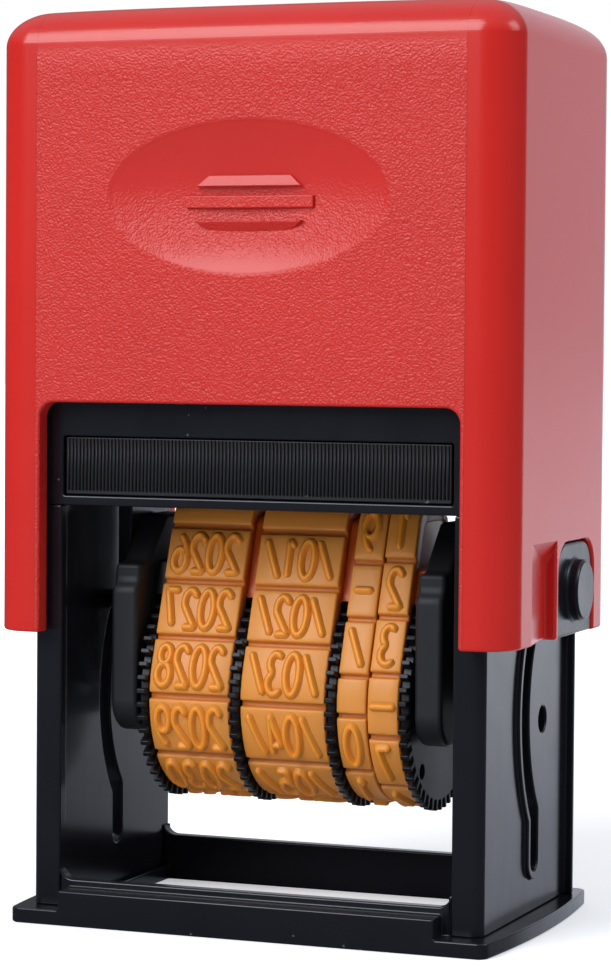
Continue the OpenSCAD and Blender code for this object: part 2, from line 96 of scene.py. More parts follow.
# Ridges in the dish, as levels of height over its middle, half length and relief, in millimetres
RIDGES = (
    ((1.97, 3.9, 0.42), (1.83, 4.06, 0.46), (0.97, 5.05, 0.72)),
    ((0.17, 6.1, 0.57), (0.02, 6.1, 0.61), (-0.93, 6.1, 0.62)),
    ((-2.04, 5.15, 0.79), (-2.18, 4.97, 0.83), (-3.09, 3.75, 0.2)),
)


def joint(name):
    """A joint of the frame by its name."""
    return next(j for j in frame["joints"] if j["name"] == name)


WHEEL_AXLE = Vector(joint("year_turn")["pos_m"])


# Sizes and colours that a user would change


def length(name, description, millimetres):
    """A length property, given in millimetres."""
    return bpy.props.FloatProperty(
        name=name,
        description=description,
        default=millimetres * MM,
        min=0.0,
        precision=5,
        subtype="DISTANCE",
        unit="LENGTH",
    )


def count(name, description, number):
    """A whole number that counts something."""
    return bpy.props.IntProperty(name=name, description=description, default=number, min=1)


def colour(name, description, red, green, blue):
    """A linear colour property."""
    return bpy.props.FloatVectorProperty(
        name=name,
        description=description,
        default=(red, green, blue),
        min=0.0,
        max=1.0,
        subtype="COLOR",
        size=3,
    )


class CoverSizes(bpy.types.PropertyGroup):
    """Sizes of the red cover that slides over the frame."""

    wall: length("Wall", "Thickness of the cover's walls", 1.85)
    corner_radius: length("Corner radius", "Radius of the upright edges", 3.4)
    top_radius: length("Top radius", "Radius of the top edges", 3.9)
    crown: length("Crown", "How far the top falls from its middle to its sides", 0.6)
    bow: length("Bow", "How far the top falls from its middle to its front and rear", 0.9)
    window_width: length("Window width", "Width of the front and rear windows", 40.0)
    window_top: length("Window top", "Height of the windows' top edge", 47.5)
    window_radius: length("Window radius", "Radius of the windows' upper corners", 1.4)
    dish_width: length("Dish width", "Width of the thumb dish", 27.0)
    dish_height: length("Dish height", "Height of the thumb dish", 13.8)
    dish_depth: length("Dish depth", "Depth of the thumb dish", 1.3)
    dish_middle: length("Dish middle", "Height of the middle of the thumb dish", 65.8)
    panel_half: length("Panel half width", "Half of the width of the grained panels", 20.4)
    grain_top: length("Grain top", "Height at which the grained panels end", 79.1)
    ridge_edge: length("Ridge edge", "Radius of the edges of the ridges in the dish", 0.1)
    lock_back: length("Lock place", "How far the lock buttons sit behind the middle", 4.4)
    lock_height: length("Lock height", "Height of the lock buttons", 30.7)
    arch_rise: length("Arch rise", "Height of the lock openings above the middle of the buttons", 4.5)
    arch_half: length("Arch half width", "Half of the width of the lock openings", 5.5)
    arch_corner: length("Arch corner", "Radius of the upper corners of the lock openings", 2.7)
    arch_rim: length("Arch rim", "Width of the rim between scoop and lock opening", 0.9)
    scoop_depth: length("Scoop depth", "Depth of the finger scoops", 1.1)
    edge: length("Edge rounding", "Radius of the cover's small edges", 0.28)


class FrameSizes(bpy.types.PropertyGroup):
    """Edge radii of the black pieces and the ribs of the ink tray."""

    frame_edge: length("Frame edge", "Radius of the edges of base, cheeks and housing", 0.18)
    plate_edge: length("Plate edge", "Radius of the edges of the side plates", 0.45)
    lock_edge: length("Lock edge", "Radius of the edges of the lock buttons", 0.3)
    foot_corner: length("Foot corner", "Radius of the foot's upright corners", 0.8)
    rib_pitch: length("Rib pitch", "Distance between two ribs of the tray front", 0.35)
    rib_width: length("Rib width", "Width of a rib", 0.21)
    rib_height: length("Rib height", "Height of the ribbed field", 4.7)


class WheelSizes(bpy.types.PropertyGroup):
    """Sizes of the thumbwheels."""

    radius: length("Radius", "Radius over the teeth", 10.1)
    tooth_height: length("Tooth height", "How far a tooth stands out of the disc", 0.95)
    tooth_width: length("Tooth width", "Width of a tooth at its foot", 0.62)
    disc: length("Disc", "Thickness of a toothed disc", 0.85)
    drum_radius: length("Drum radius", "Radius of the drum under the band", 7.85)
    bore_radius: length("Bore radius", "Radius of the hole for the axle", 1.3)
    teeth: count("Teeth", "Number of teeth on a wheel", 50)


class BandSizes(bpy.types.PropertyGroup):
    """Sizes of the rubber date bands."""

    thickness: length("Thickness", "Thickness of a band without its figures", 1.5)
    edge_radius: length("Platen edge", "Radius of the platen's edges under the band", 1.0)
    platen_half: length("Platen half", "Half of the flat stretch over the platen", 1.8)
    groove_width: length("Groove width", "Width of the groove between two cells", 0.55)
    groove_depth: length("Groove depth", "Depth of the groove between two cells", 0.5)
    cell_edge: length("Cell edge", "Radius of a cell's edges", 0.16)
    figure_height: length("Figure height", "Height of a figure", 3.5)
    figure_width: length("Figure width", "Width of a figure", 1.32)
    figure_pitch: length("Figure pitch", "Distance from one figure to the next", 1.72)
    relief: length("Relief", "How far the figures stand out", 0.42)
    stroke: length("Stroke", "Width of a figure's stroke at its foot", 0.82)
    cells: count("Cells", "Number of cells on a band", 13)
    short_cell: count("Short cell", "Place of the short cell on the tens band", 4)
    short_by: length("Short by", "How much shorter that cell is", 2.1)


class SpringSizes(bpy.types.PropertyGroup):
    """Sizes of the return spring."""

    wire: length("Wire", "Diameter of the wire", 0.9)
    coil_radius: length("Coil radius", "Mean radius of the coils", 5.2)
    turns: count("Turns", "Number of coils", 9)


class StampColours(bpy.types.PropertyGroup):
    """Linear colours of the finishes."""

    cover: colour("Cover", "Red of the cover", 0.6, 0.018, 0.0135)
    frame: colour("Frame", "Black of the frame", 0.0078, 0.0083, 0.0118)
    unit: colour("Turning unit", "Dark grey of the turning unit", 0.0125, 0.0125, 0.0145)
    wheel: colour("Wheel", "Black of the thumbwheels", 0.006, 0.0063, 0.0075)
    band: colour("Band", "Amber of the rubber bands", 0.76, 0.29, 0.04)
    core: colour("Core", "Orange of the platen core", 0.78, 0.14, 0.012)
    ink: colour("Ink", "Ink in the felt pad", 0.018, 0.014, 0.045)
    steel: colour("Steel", "Drawn steel of spring and axle", 0.58, 0.58, 0.6)


PROPERTY_GROUPS = {
    "stamp_cover": CoverSizes,
    "stamp_frame": FrameSizes,
    "stamp_wheel": WheelSizes,
    "stamp_band": BandSizes,
    "stamp_spring": SpringSizes,
    "stamp_colours": StampColours,
}


def setting(group):
    """The property group of that name on the scene."""
    return getattr(bpy.context.scene, group)


def paint(name):
    """A colour of that name from the scene's properties."""
    return tuple(getattr(setting("stamp_colours"), name))


def shade(base, factor):
    """A colour made darker or lighter."""
    return tuple(c * factor for c in base)


# Node helpers


def feed(tree, node, values):
    """Sets or links a node's inputs by name or number; a list gives several links."""
    for key, value in values.items():
        for item in value if isinstance(value, list) else [value]:
            if isinstance(item, bpy.types.NodeSocket):
                tree.links.new(item, node.inputs[key])
            else:
                node.inputs[key].default_value = item


def put(tree, kind, values=None, **settings):
    """Adds a node, sets its properties and feeds its inputs."""
    node = tree.nodes.new(kind)
    for key, value in settings.items():
        setattr(node, key, value)
    feed(tree, node, values or {})
    return node


def calc(tree, operation, *values):
    """A Math node on sockets and numbers."""
    return put(tree, "ShaderNodeMath", dict(enumerate(values)), operation=operation).outputs[0]


def times(tree, first, *others):
    """The product of sockets and numbers."""
    for other in others:
        first = calc(tree, "MULTIPLY", first, other)
    return first


def line_of(tree, value, slope, start):
    """start + slope * value."""
    return calc(tree, "MULTIPLY_ADD", value, slope, start)


def vector_calc(tree, operation, *values):
    """A Vector Math node on sockets and vectors."""
    return put(tree, "ShaderNodeVectorMath", dict(enumerate(values)), operation=operation).outputs["Vector"]


def separate(tree, vector):
    """The X, Y and Z of a vector."""
    return tuple(put(tree, "ShaderNodeSeparateXYZ", {"Vector": vector}).outputs)


def combine(tree, **parts):
    """A vector of the given X, Y and Z."""
    return put(tree, "ShaderNodeCombineXYZ", parts).outputs[0]


def soft_step(tree, value, low, high):
    """0 below low, 1 above high and smooth between them."""
    values = {"Value": value, "From Min": low, "From Max": high}
    return put(tree, "ShaderNodeMapRange", values, interpolation_type="SMOOTHSTEP").outputs["Result"]


def mix_colour(tree, factor, first, second):
    """Two colours mixed by a factor."""
    first, second = ((*value, 1.0) if isinstance(value, tuple) else value for value in (first, second))
    return put(tree, "ShaderNodeMix", {0: factor, 6: first, 7: second}, data_type="RGBA").outputs[2]


def noise(tree, vector, scale, detail, roughness=0.5):
    """A noise texture's node."""
    values = {"Vector": vector, "Scale": scale, "Detail": detail, "Roughness": roughness}
    return put(tree, "ShaderNodeTexNoise", values)


def object_point(tree):
    """Object coordinates of the shaded point."""
    return put(tree, "ShaderNodeTexCoord").outputs["Object"]


# Shader groups that several finishes use


def leather_grain(tree, given):
    """Fine pebbled grain of a moulded panel, high on its tops and low in its creases."""
    point = object_point(tree)
    warp = noise(tree, point, 2200.0, 2.0).outputs["Color"]
    bent = vector_calc(tree, "MULTIPLY_ADD", warp, (0.26 * MM,) * 3, point)
    values = {"Vector": bent, "Scale": given["Scale"]}
    cells = put(tree, "ShaderNodeTexVoronoi", values, feature="SMOOTH_F1")
    rise = line_of(tree, cells.outputs["Distance"], -1.1, 1.0)
    return line_of(tree, noise(tree, point, 1300.0, 3.0).outputs["Fac"], 0.7, rise)


def dust_specks(tree, given):
    """Sparse specks of dust and lint, as a mask."""
    cells = put(tree, "ShaderNodeTexVoronoi", {"Vector": object_point(tree), "Scale": given["Scale"]})
    pick = put(tree, "ShaderNodeSeparateColor", {"Color": cells.outputs["Color"]})
    near = calc(tree, "LESS_THAN", cells.outputs["Distance"], given["Size"])
    return times(tree, near, calc(tree, "LESS_THAN", pick.outputs["Red"], given["Share"]))


def drawn_streaks(tree, given):
    """Faint upright streaks, as left by a mould's polishing."""
    x, y, z = separate(tree, object_point(tree))
    point = combine(tree, X=x, Y=y, Z=times(tree, z, given["Stretch"]))
    return noise(tree, point, given["Scale"], 4.0, 0.6).outputs["Fac"]


def soft_blotches(tree, given):
    """Broad cloudy change over a surface."""
    return noise(tree, object_point(tree), given["Scale"], 5.0, 0.55).outputs["Fac"]


EFFECTS = {}


def effect(tree, maker, **values):
    """A shader group, made once by its maker and placed in a material with its own values."""
    name = maker.__name__
    if name not in EFFECTS:
        group = EFFECTS[name] = bpy.data.node_groups.new(name, "ShaderNodeTree")
        for label in values:
            group.interface.new_socket(label, in_out="INPUT", socket_type="NodeSocketFloat")
        group.interface.new_socket("Mask", in_out="OUTPUT", socket_type="NodeSocketFloat")
        made = maker(group, put(group, "NodeGroupInput").outputs)
        put(group, "NodeGroupOutput", {"Mask": made})
    return put(tree, "ShaderNodeGroup", values, node_tree=EFFECTS[name]).outputs[0]


# Materials


def blank_material(name):
    """A material with one Principled BSDF, and its tree and shader."""
    material = bpy.data.materials.new(name)
    material.use_nodes = True
    return material, material.node_tree, material.node_tree.nodes["Principled BSDF"]


def bump(tree, height, strength, distance):
    """A normal from a height."""
    values = {"Strength": strength, "Distance": distance, "Height": height}
    return put(tree, "ShaderNodeBump", values).outputs["Normal"]


def cover_finish():
    """Glossy red plastic with grained front and rear panels between two fine lines."""
    sizes = setting("stamp_cover")
    red = paint("cover")
    panel_reach = 3.4 * MM
    line_half = 0.045 * MM
    grain_depth = 0.085 * MM
    material, tree, shader = blank_material("cover_red")
    x, y, z = separate(tree, object_point(tree))
    side = calc(tree, "ABSOLUTE", x)
    inside = calc(tree, "LESS_THAN", side, sizes.panel_half)
    front = calc(tree, "GREATER_THAN", calc(tree, "ABSOLUTE", y), CAD_HIGH.y - panel_reach)
    below = soft_step(tree, z, sizes.grain_top + 0.8 * MM, sizes.grain_top - 2.4 * MM)
    panel = times(tree, inside, front, below)
    across = calc(tree, "DIVIDE", x, sizes.dish_width / 2)
    lift = calc(tree, "DIVIDE", calc(tree, "SUBTRACT", z, sizes.dish_middle), sizes.dish_height / 2)
    squares = (calc(tree, "POWER", value, 2.0) for value in (across, lift))
    from_middle = calc(tree, "SQRT", calc(tree, "ADD", *squares))
    in_dish = times(tree, soft_step(tree, from_middle, 1.03, 0.95), calc(tree, "LESS_THAN", y, 0.0))
    worn = times(tree, soft_step(tree, lift, 0.55, -0.6), soft_step(tree, lift, -1.0, -0.5))
    smooth = times(tree, in_dish, line_of(tree, worn, -0.8, 1.0))
    grained = times(tree, panel, calc(tree, "SUBTRACT", 1.0, smooth))
    off_line = calc(tree, "ABSOLUTE", calc(tree, "SUBTRACT", side, sizes.panel_half))
    line = times(tree, calc(tree, "LESS_THAN", off_line, line_half), front)
    grain = effect(tree, leather_grain, Scale=5200.0)
    blotch = effect(tree, soft_blotches, Scale=60.0)
    speck = effect(tree, dust_specks, Scale=400.0, Size=0.035, Share=0.06)
    tone = mix_colour(tree, blotch, shade(red, 0.9), shade(red, 1.08))
    tone = mix_colour(tree, times(tree, line, 0.45), tone, shade(red, 0.5))
    tone = mix_colour(tree, times(tree, speck, 0.35), tone, (0.8, 0.45, 0.42))
    rough = line_of(tree, panel, 0.08, line_of(tree, grained, 0.1, 0.21))
    feed(tree, shader, {
        "Base Color": tone,
        "Roughness": line_of(tree, blotch, 0.06, rough),
        "Normal": bump(tree, times(tree, grain, grained), 1.0, grain_depth),
    })
    return material


def black_plastic(name, base, rough, streak=0.0, specks=0.5):
    """Moulded black plastic with faint streaks, cloudy gloss and dust."""
    material, tree, shader = blank_material(name)
    blotch = effect(tree, soft_blotches, Scale=140.0)
    lines = effect(tree, drawn_streaks, Scale=700.0, Stretch=0.04)
    speck = effect(tree, dust_specks, Scale=620.0, Size=0.065, Share=0.15)
    tone = mix_colour(tree, blotch, shade(base, 0.75), shade(base, 1.3))
    feed(tree, shader, {
        "Base Color": mix_colour(tree, times(tree, speck, specks), tone, (0.16, 0.165, 0.18)),
        "Roughness": line_of(tree, lines, streak, line_of(tree, blotch, 0.14, rough - 0.07)),
        "Specular Tint": (0.86, 0.9, 1.0, 1.0),
        "Normal": bump(tree, lines, 0.16, 0.02 * MM),
    })
    return material


def rubber_finish():
    """Amber rubber, with painted shade in the grooves and a painted highlight on the raised figures."""
    base = paint("band")
    material, tree, shader = blank_material("band_rubber")
    relief = put(tree, "ShaderNodeAttribute", attribute_name="relief").outputs["Fac"]
    blotch = effect(tree, soft_blotches, Scale=260.0)
    speck = effect(tree, dust_specks, Scale=600.0, Size=0.07, Share=0.05)
    dusty = tuple(c * 0.87 + 0.012 for c in base)
    # Lighter, more saturated tone for the raised figures: a painted highlight.
    clear = (base[0] * 1.12, base[1] * 1.04, base[2] * 0.6)
    # Darker tone for the grooves between cells: a painted shade.
    groove = (base[0] * 0.78, base[1] * 0.6, base[2] * 0.5)
    tone = mix_colour(tree, blotch, dusty, base)
    # The raised figures take the painted highlight tone.
    tone = mix_colour(tree, soft_step(tree, relief, 0.02 * MM, 0.3 * MM), tone, clear)
    # The grooves take the painted shade tone.
    tone = mix_colour(tree, soft_step(tree, relief, -0.1 * MM, -0.4 * MM), tone, groove)
    feed(tree, shader, {
        "Base Color": mix_colour(tree, times(tree, speck, 0.6), tone, (0.12, 0.05, 0.02)),
        "Roughness": line_of(tree, blotch, 0.16, 0.36),
        "Subsurface Weight": 0.15,
        "Subsurface Radius": (1.0, 0.45, 0.12),
        "Subsurface Scale": 0.5 * MM,
        "Normal": bump(tree, blotch, 0.12, 0.03 * MM),
    })
    return material


def core_finish():
    """Moulded orange plastic, painted near black at its left end as a painted shade beside the year band.
    """
    base = paint("core")
    material, tree, shader = blank_material("core_orange")
    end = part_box("year_band")[0].x
    # The left end beside the year band is painted near black: a painted shade.
    painted_end_shade = soft_step(tree, separate(tree, object_point(tree))[0], end + 0.4 * MM, end)
    blotch = effect(tree, soft_blotches, Scale=160.0)
    tone = mix_colour(tree, blotch, shade(base, 0.85), base)
    feed(tree, shader, {
        "Base Color": mix_colour(tree, painted_end_shade, tone, (0.008, 0.008, 0.01)),
        "Roughness": line_of(tree, blotch, 0.12, 0.3),
    })
    return material


def drawn_steel():
    """Bright drawn steel."""
    base = paint("steel")
    material, tree, shader = blank_material("drawn_steel")
    lines = effect(tree, drawn_streaks, Scale=1600.0, Stretch=0.5)
    feed(tree, shader, {
        "Base Color": mix_colour(tree, lines, shade(base, 0.7), base),
        "Metallic": 1.0,
        "Roughness": line_of(tree, lines, 0.2, 0.2),
    })
    return material


def felt_finish():
    """Ink-soaked felt."""
    base = paint("ink")
    material, tree, shader = blank_material("ink_felt")
    fibre = effect(tree, leather_grain, Scale=3000.0)
    blotch = effect(tree, soft_blotches, Scale=200.0)
    feed(tree, shader, {
        "Base Color": mix_colour(tree, blotch, shade(base, 0.6), shade(base, 1.5)),
        "Roughness": line_of(tree, fibre, 0.2, 0.6),
        "Sheen Weight": 0.2,
        "Normal": bump(tree, fibre, 0.6, 0.12 * MM),
    })
    return material


FINISHES = {}


def finish(name):
    """A material by name, made once."""
    makers = {
        "cover": cover_finish,
        "frame": lambda: black_plastic("frame_black", paint("frame"), 0.17, 0.06),
        "lock": lambda: black_plastic("lock_black", paint("frame"), 0.24, 0.05),
        "tray": lambda: black_plastic("tray_black", paint("unit"), 0.46, 0.05, 0.7),
        "unit": lambda: black_plastic("unit_grey", paint("unit"), 0.5, 0.1, 0.4),
        "wheel": lambda: black_plastic("wheel_black", paint("wheel"), 0.45, 0.0, 0.3),
        "band": rubber_finish,
        "core": core_finish,
        "steel": drawn_steel,
        "felt": felt_finish,
    }
    if name not in FINISHES:
        FINISHES[name] = makers[name]()
    return FINISHES[name]


# Mesh helpers


def dress(name, mesh, finish_name, body, slot, *stands_for):
    """Links a finished mesh at the origin, rides it on a body and hides the nodes that it stands for."""
    mesh.name = name
    mesh.materials.clear()
    mesh.materials.append(finish(finish_name))
    piece = bpy.data.objects.new(name, mesh)
    bpy.context.scene.collection.objects.link(piece)
    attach(piece, body)
    if stands_for:
        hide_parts(*stands_for)
    return piece


def as_mesh(bm, name="made"):
    """A mesh from a bmesh, with smooth faces."""
    for face in bm.faces:
        face.smooth = True
    mesh = bpy.data.meshes.new(name)
    bm.to_mesh(mesh)
    bm.free()
    return mesh


def scratch(mesh):
    """A linked object that carries modifiers for a while."""
    thing = bpy.data.objects.new("scratch", mesh)
    bpy.context.scene.collection.objects.link(thing)
    return thing


def settle(thing):
    """The object's mesh with its modifiers applied; the object goes."""
    graph = bpy.context.evaluated_depsgraph_get()
    mesh = bpy.data.meshes.new_from_object(thing.evaluated_get(graph))
    bpy.data.objects.remove(thing)
    return mesh


def flat_areas(bm):
    """For each plain face, the area of the flat stretch that it belongs to; rounded faces get none."""
    areas = {}
    for face in bm.faces:
        if face in areas or face.material_index:
            continue
        stretch, queue = {face}, [face]
        while queue:
            here = queue.pop()
            for other in {f for edge in here.edges for f in edge.link_faces} - stretch:
                if not other.material_index and other.normal.dot(here.normal) > 0.99999:
                    stretch.add(other)
                    queue.append(other)
        areas.update(dict.fromkeys(stretch, sum(f.calc_area() for f in stretch)))
    return areas


def flatten_normals(mesh, crease):
    """Keeps flat stretches flat in the shading; roundings, in material slot 1, run from one to the next."""
    bm = bmesh.new()
    bm.from_mesh(mesh)
    areas = flat_areas(bm)
    limit = math.cos(math.radians(crease))
    normals = []
    for face in bm.faces:
        beside = {f for edge in face.edges for f in edge.link_faces}
        for loop in face.loops:
            around = [f for f in loop.vert.link_faces if f in areas]
            if face in areas:
                around = [f for f in around if f.normal.dot(face.normal) > limit]
            else:
                around = [f for f in around if f in beside] or around
            total = sum((f.normal * (areas[f] / MM**2) ** 2 for f in around), Vector())
            normals.append((total if around else loop.vert.normal).normalized())
    bm.free()
    mesh.normals_split_custom_set(normals)


def soften(mesh, radius, segments=3, angle=35.0, crease=25.0):
    """Rounds the sharp edges, and keeps flat faces flat in the shading."""
    mesh.materials.clear()
    for slot in range(2):
        mesh.materials.append(None)
    thing = scratch(mesh)
    bevel = thing.modifiers.new("rounded_edges", "BEVEL")
    bevel.width = radius
    bevel.segments = segments
    bevel.limit_method = "ANGLE"
    bevel.angle_limit = math.radians(angle)
    bevel.miter_outer = "MITER_ARC"
    bevel.use_clamp_overlap = False
    bevel.loop_slide = False
    bevel.material = 1
    made = settle(thing)
    flatten_normals(made, crease)
    return made


def solid_copy(node):
    """A merged copy of a node's mesh, with its flat stretches joined into convex faces."""
    flat = math.radians(0.4)
    bm = bmesh.new()
    bm.from_mesh(frame["nodes"][node].data)
    bmesh.ops.remove_doubles(bm, verts=bm.verts, dist=MERGE_DISTANCE / 2)
    bmesh.ops.dissolve_limit(bm, angle_limit=flat, verts=bm.verts, edges=bm.edges)
    bmesh.ops.connect_verts_concave(bm, faces=bm.faces)
    return bm


def rounded_copy(node, radius):
    """A node's shape with rounded edges."""
    return soften(as_mesh(solid_copy(node)), radius)


def bridge(bm, rings):
    """Joins each closed ring of vertices to the next one by faces."""
    for near, far in zip(rings, rings[1:]):
        for i in range(len(near)):
            j = (i + 1) % len(near)
            bm.faces.new((near[i], near[j], far[j], far[i]))


def add_solid(bm, rings):
    """Adds a closed solid of rings of points to a bmesh."""
    rings = [[bm.verts.new(p) for p in ring] for ring in rings]
    bridge(bm, rings)
    bm.faces.new(rings[0])
    bm.faces.new(reversed(rings[-1]))
    bmesh.ops.recalc_face_normals(bm, faces=bm.faces)


def solid_of(rings):
    """A closed solid from rings of points."""
    bm = bmesh.new()
    add_solid(bm, rings)
    return bm


def prism(outline, start, end, place):
    """A closed prism of a flat outline; place turns (u, v, along) into a point."""
    return solid_of([[place(u, v, along) for u, v in outline] for along in (start, end)])


def arc(centre, radius, start, end, steps):
    """Points on an arc, in degrees; the radius may be a pair."""
    wide, high = radius if isinstance(radius, tuple) else (radius, radius)
    turns = [math.radians(start + (end - start) * i / steps) for i in range(steps + 1)]
    return [(centre[0] + wide * math.cos(a), centre[1] + high * math.sin(a)) for a in turns]


def carve(mesh, cutters):
    """Cuts solids out of a mesh."""
    thing = scratch(mesh)
    tools = [scratch(as_mesh(bm)) for bm in cutters]
    for tool in tools:
        cut = thing.modifiers.new("cut", "BOOLEAN")
        cut.operation = "DIFFERENCE"
        cut.solver = "EXACT"
        cut.object = tool
    made = settle(thing)
    for tool in tools:
        bpy.data.objects.remove(tool)
    return made


def clean(mesh):
    """Merges doubles and joins flat stretches after cuts."""
    flat = math.radians(0.05)
    bm = bmesh.new()
    bm.from_mesh(mesh)
    bmesh.ops.remove_doubles(bm, verts=bm.verts, dist=MERGE_DISTANCE)
    bmesh.ops.dissolve_degenerate(bm, edges=bm.edges, dist=MERGE_DISTANCE)
    bmesh.ops.dissolve_limit(bm, angle_limit=flat, verts=bm.verts, edges=bm.edges)
    return as_mesh(bm)


# Cover


def cover_ring(half_x, half_y, radius, high, steps):
    """One level of the cover: straight sides in short stretches, and round corners."""
    columns, corner = 24, 20
    flat, level = half_x - radius, half_y - radius
    front = [(-flat + 2 * flat * i / columns, -half_y) for i in range(1, columns)]
    right = [(half_x, -level + 2 * level * i / steps) for i in range(1, steps)]
    ring = front + arc((flat, -level), radius, -90, 0, corner)
    ring += right + arc((flat, level), radius, 0, 90, corner)
    ring += [(-x, half_y) for x, y in front] + arc((-flat, level), radius, 90, 180, corner)
    ring += [(-half_x, -y) for x, y in right] + arc((-flat, -level), radius, 180, 270, corner)
    return [(x, y, high) for x, y in ring]


def cover_skin(bm, sizes, thin, low, crown, bow):
    """One skin of the cover, from its lower edge over the domed top; returns its lowest ring."""
    half_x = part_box("cover")[1].x - thin
    half_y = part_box("cover")[1].y - thin
    top = CAD_HIGH.z - thin
    radius = sizes.top_radius - thin
    corner = sizes.corner_radius - thin
    top_corner = 0.5 * MM
    steps = 20
    levels = [(0.0, low)]
    levels += [(radius - u, top - radius + v) for u, v in arc((0.0, 0.0), radius, 0, 90, steps)]

    def fall(x, y):
        return math.hypot(crown * (x / half_x) ** 2, bow * (y / half_y) ** 2)

    rows = []
    for inset, high in levels:
        tight = corner - (corner - top_corner) * inset / radius
        ring = cover_ring(half_x - inset, half_y - inset, tight, high, steps)
        lift = max(0.0, (high - top + radius) / radius)
        rows.append([bm.verts.new((x, y, z - lift * fall(x, y))) for x, y, z in ring])
    bridge(bm, rows)
    top_row = sorted(rows[-1], key=lambda v: (round(v.co.x, 7), v.co.y))
    across = top_row[steps + 1 : -steps - 1]
    columns = [top_row[: steps + 1]]
    for near, far in zip(across[::2], across[1::2]):
        line = [near.co.lerp(far.co, i / steps) for i in range(1, steps)]
        columns.append([near, *(bm.verts.new((x, y, top - fall(x, y))) for x, y, z in line), far])
    columns.append(top_row[-steps - 1 :])
    for left, right in zip(columns, columns[1:]):
        for i in range(steps):
            bm.faces.new((left[i], right[i], right[i + 1], left[i + 1]))
    return rows[0]


def cover_body(sizes):
    """The plain shell of the cover, open at the bottom."""
    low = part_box("cover")[0].z
    bm = bmesh.new()
    outer = cover_skin(bm, sizes, 0.0, low, sizes.crown, sizes.bow)
    skin_faces = set(bm.faces)
    inner = cover_skin(bm, sizes, sizes.wall, low, 0.0, 0.0)
    for face in set(bm.faces) - skin_faces:
        face.normal_flip()
    for i in range(len(outer)):
        j = (i + 1) % len(outer)
        bm.faces.new((outer[j], outer[i], inner[i], inner[j]))
    return as_mesh(bm)


def gate(middle, half, high, radius):
    """Outline of an opening with round upper corners, open at the cover's lower edge."""
    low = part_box("cover")[0].z - CUT_REACH
    outline = [(middle - half, low), (middle + half, low)]
    outline += arc((middle + half - radius, high - radius), radius, 0, 90, 20)
    return outline + arc((middle - half + radius, high - radius), radius, 90, 180, 20)


def window_cutter(sizes):
    """Prism of the front and rear windows."""
    outline = gate(0.0, sizes.window_width / 2, sizes.window_top, sizes.window_radius)
    reach = 2 * CAD_HIGH.y
    return prism(outline, -reach, reach, lambda u, v, along: (u, along, v))


def dish_cutter(sizes):
    """Lens that cuts the thumb dish, turned about a line along X."""
    wide = sizes.dish_width**2 / (8 * sizes.dish_depth)
    tall = sizes.dish_height**2 / (8 * sizes.dish_depth)
    middle = sizes.dish_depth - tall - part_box("cover")[1].y
    reach = 0.62 * sizes.dish_width
    columns, rows, sector = 56, 60, 40.0
    rings = []
    for i in range(columns + 1):
        x = -reach + 2 * reach * i / columns
        radius = tall - wide + math.sqrt(wide * wide - x * x)
        hub = (middle, sizes.dish_middle)
        rings.append([(x, y, z) for y, z in arc(hub, radius, -sector, sector, rows) + [hub]])
    return solid_of(rings)


def side_prism(outline, side, inner, outer):
    """Prism of a (y, z) outline through one side wall."""
    return prism(outline, side * inner, side * outer, lambda u, v, along: (along, u, v))


def arch_cutter(sizes, side):
    """Prism of the opening round a lock."""
    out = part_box("cover")[1].x
    high = sizes.lock_height + sizes.arch_rise
    outline = gate(sizes.lock_back, sizes.arch_half, high, sizes.arch_corner)
    return side_prism(outline, side, out - 4 * MM, out + 4 * MM)


def scoop_cutter(sizes, side):
    """Wedge of a finger scoop, deepest beside the arch and sloping up at its top."""
    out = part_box("cover")[1].x
    overshoot = 0.3 * MM
    border = 4.2 * MM
    shell = out + overshoot
    deep = out - sizes.scoop_depth
    near = -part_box("cover")[1].y + border
    far = sizes.lock_back - sizes.arch_half - sizes.arch_rim
    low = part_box("cover")[0].z - CUT_REACH
    high = sizes.lock_height + sizes.arch_rise + sizes.arch_rim
    slope = 2.6 * MM
    foot = [(shell, near, low), (deep, far, low), (shell, far, low)]
    head = [(shell, near, high), (deep, far, high - slope), (shell, far, high)]
    return solid_of([[(side * x, y, z) for x, y, z in ring] for ring in (foot, head)])


def dish_ridges(sizes):
    """Three grip ridges in the dish: the top one faces up, the lowest one faces down."""
    floor = -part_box("cover")[1].y + sizes.dish_depth
    root = floor + 0.4 * MM
    bm = bmesh.new()
    for levels in RIDGES:
        rings = []
        for rise, half, out in levels:
            near = floor - out * MM
            spots = ((-half, near), (half, near), (half, root), (-half, root))
            rings.append([(x * MM, y, sizes.dish_middle + rise * MM) for x, y in spots])
        add_solid(bm, rings)
    return soften(as_mesh(bm), sizes.ridge_edge)


class STAMP_OT_cover(bpy.types.Operator):
    """Builds the red cover with its windows, thumb dish, lock arches and finger scoops"""

    bl_idname = "stamp.cover"
    bl_label = "Cover"

    def execute(self, context):
        sizes = setting("stamp_cover")
        mesh = carve(cover_body(sizes), [window_cutter(sizes), dish_cutter(sizes)])
        for side in (-1, 1):
            mesh = carve(mesh, [scoop_cutter(sizes, side), arch_cutter(sizes, side)])
        whole = bmesh.new()
        for shell in (soften(clean(mesh), sizes.edge, 3, 40.0, 5.0), dish_ridges(sizes)):
            whole.from_mesh(shell)
        dress("cover_shell", as_mesh(whole), "cover", "cover", "cover_plastic", "cover")
        return {"FINISHED"}


# Frame


def round_corners(bm, radius):
    """Rounds the four upright corners of the foot."""
    low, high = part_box("base")
    near = 0.3 * MM
    corners = []
    for edge in bm.edges:
        a, b = (v.co for v in edge.verts)
        upright = (a.xy - b.xy).length < 0.01 * MM
        if upright and high.y - abs(a.y) < near and abs(a.x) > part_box("right_cheek")[1].x:
            corners.append(edge)
    bmesh.ops.bevel(bm, geom=corners, offset=radius, segments=5, profile=0.5, affect="EDGES")


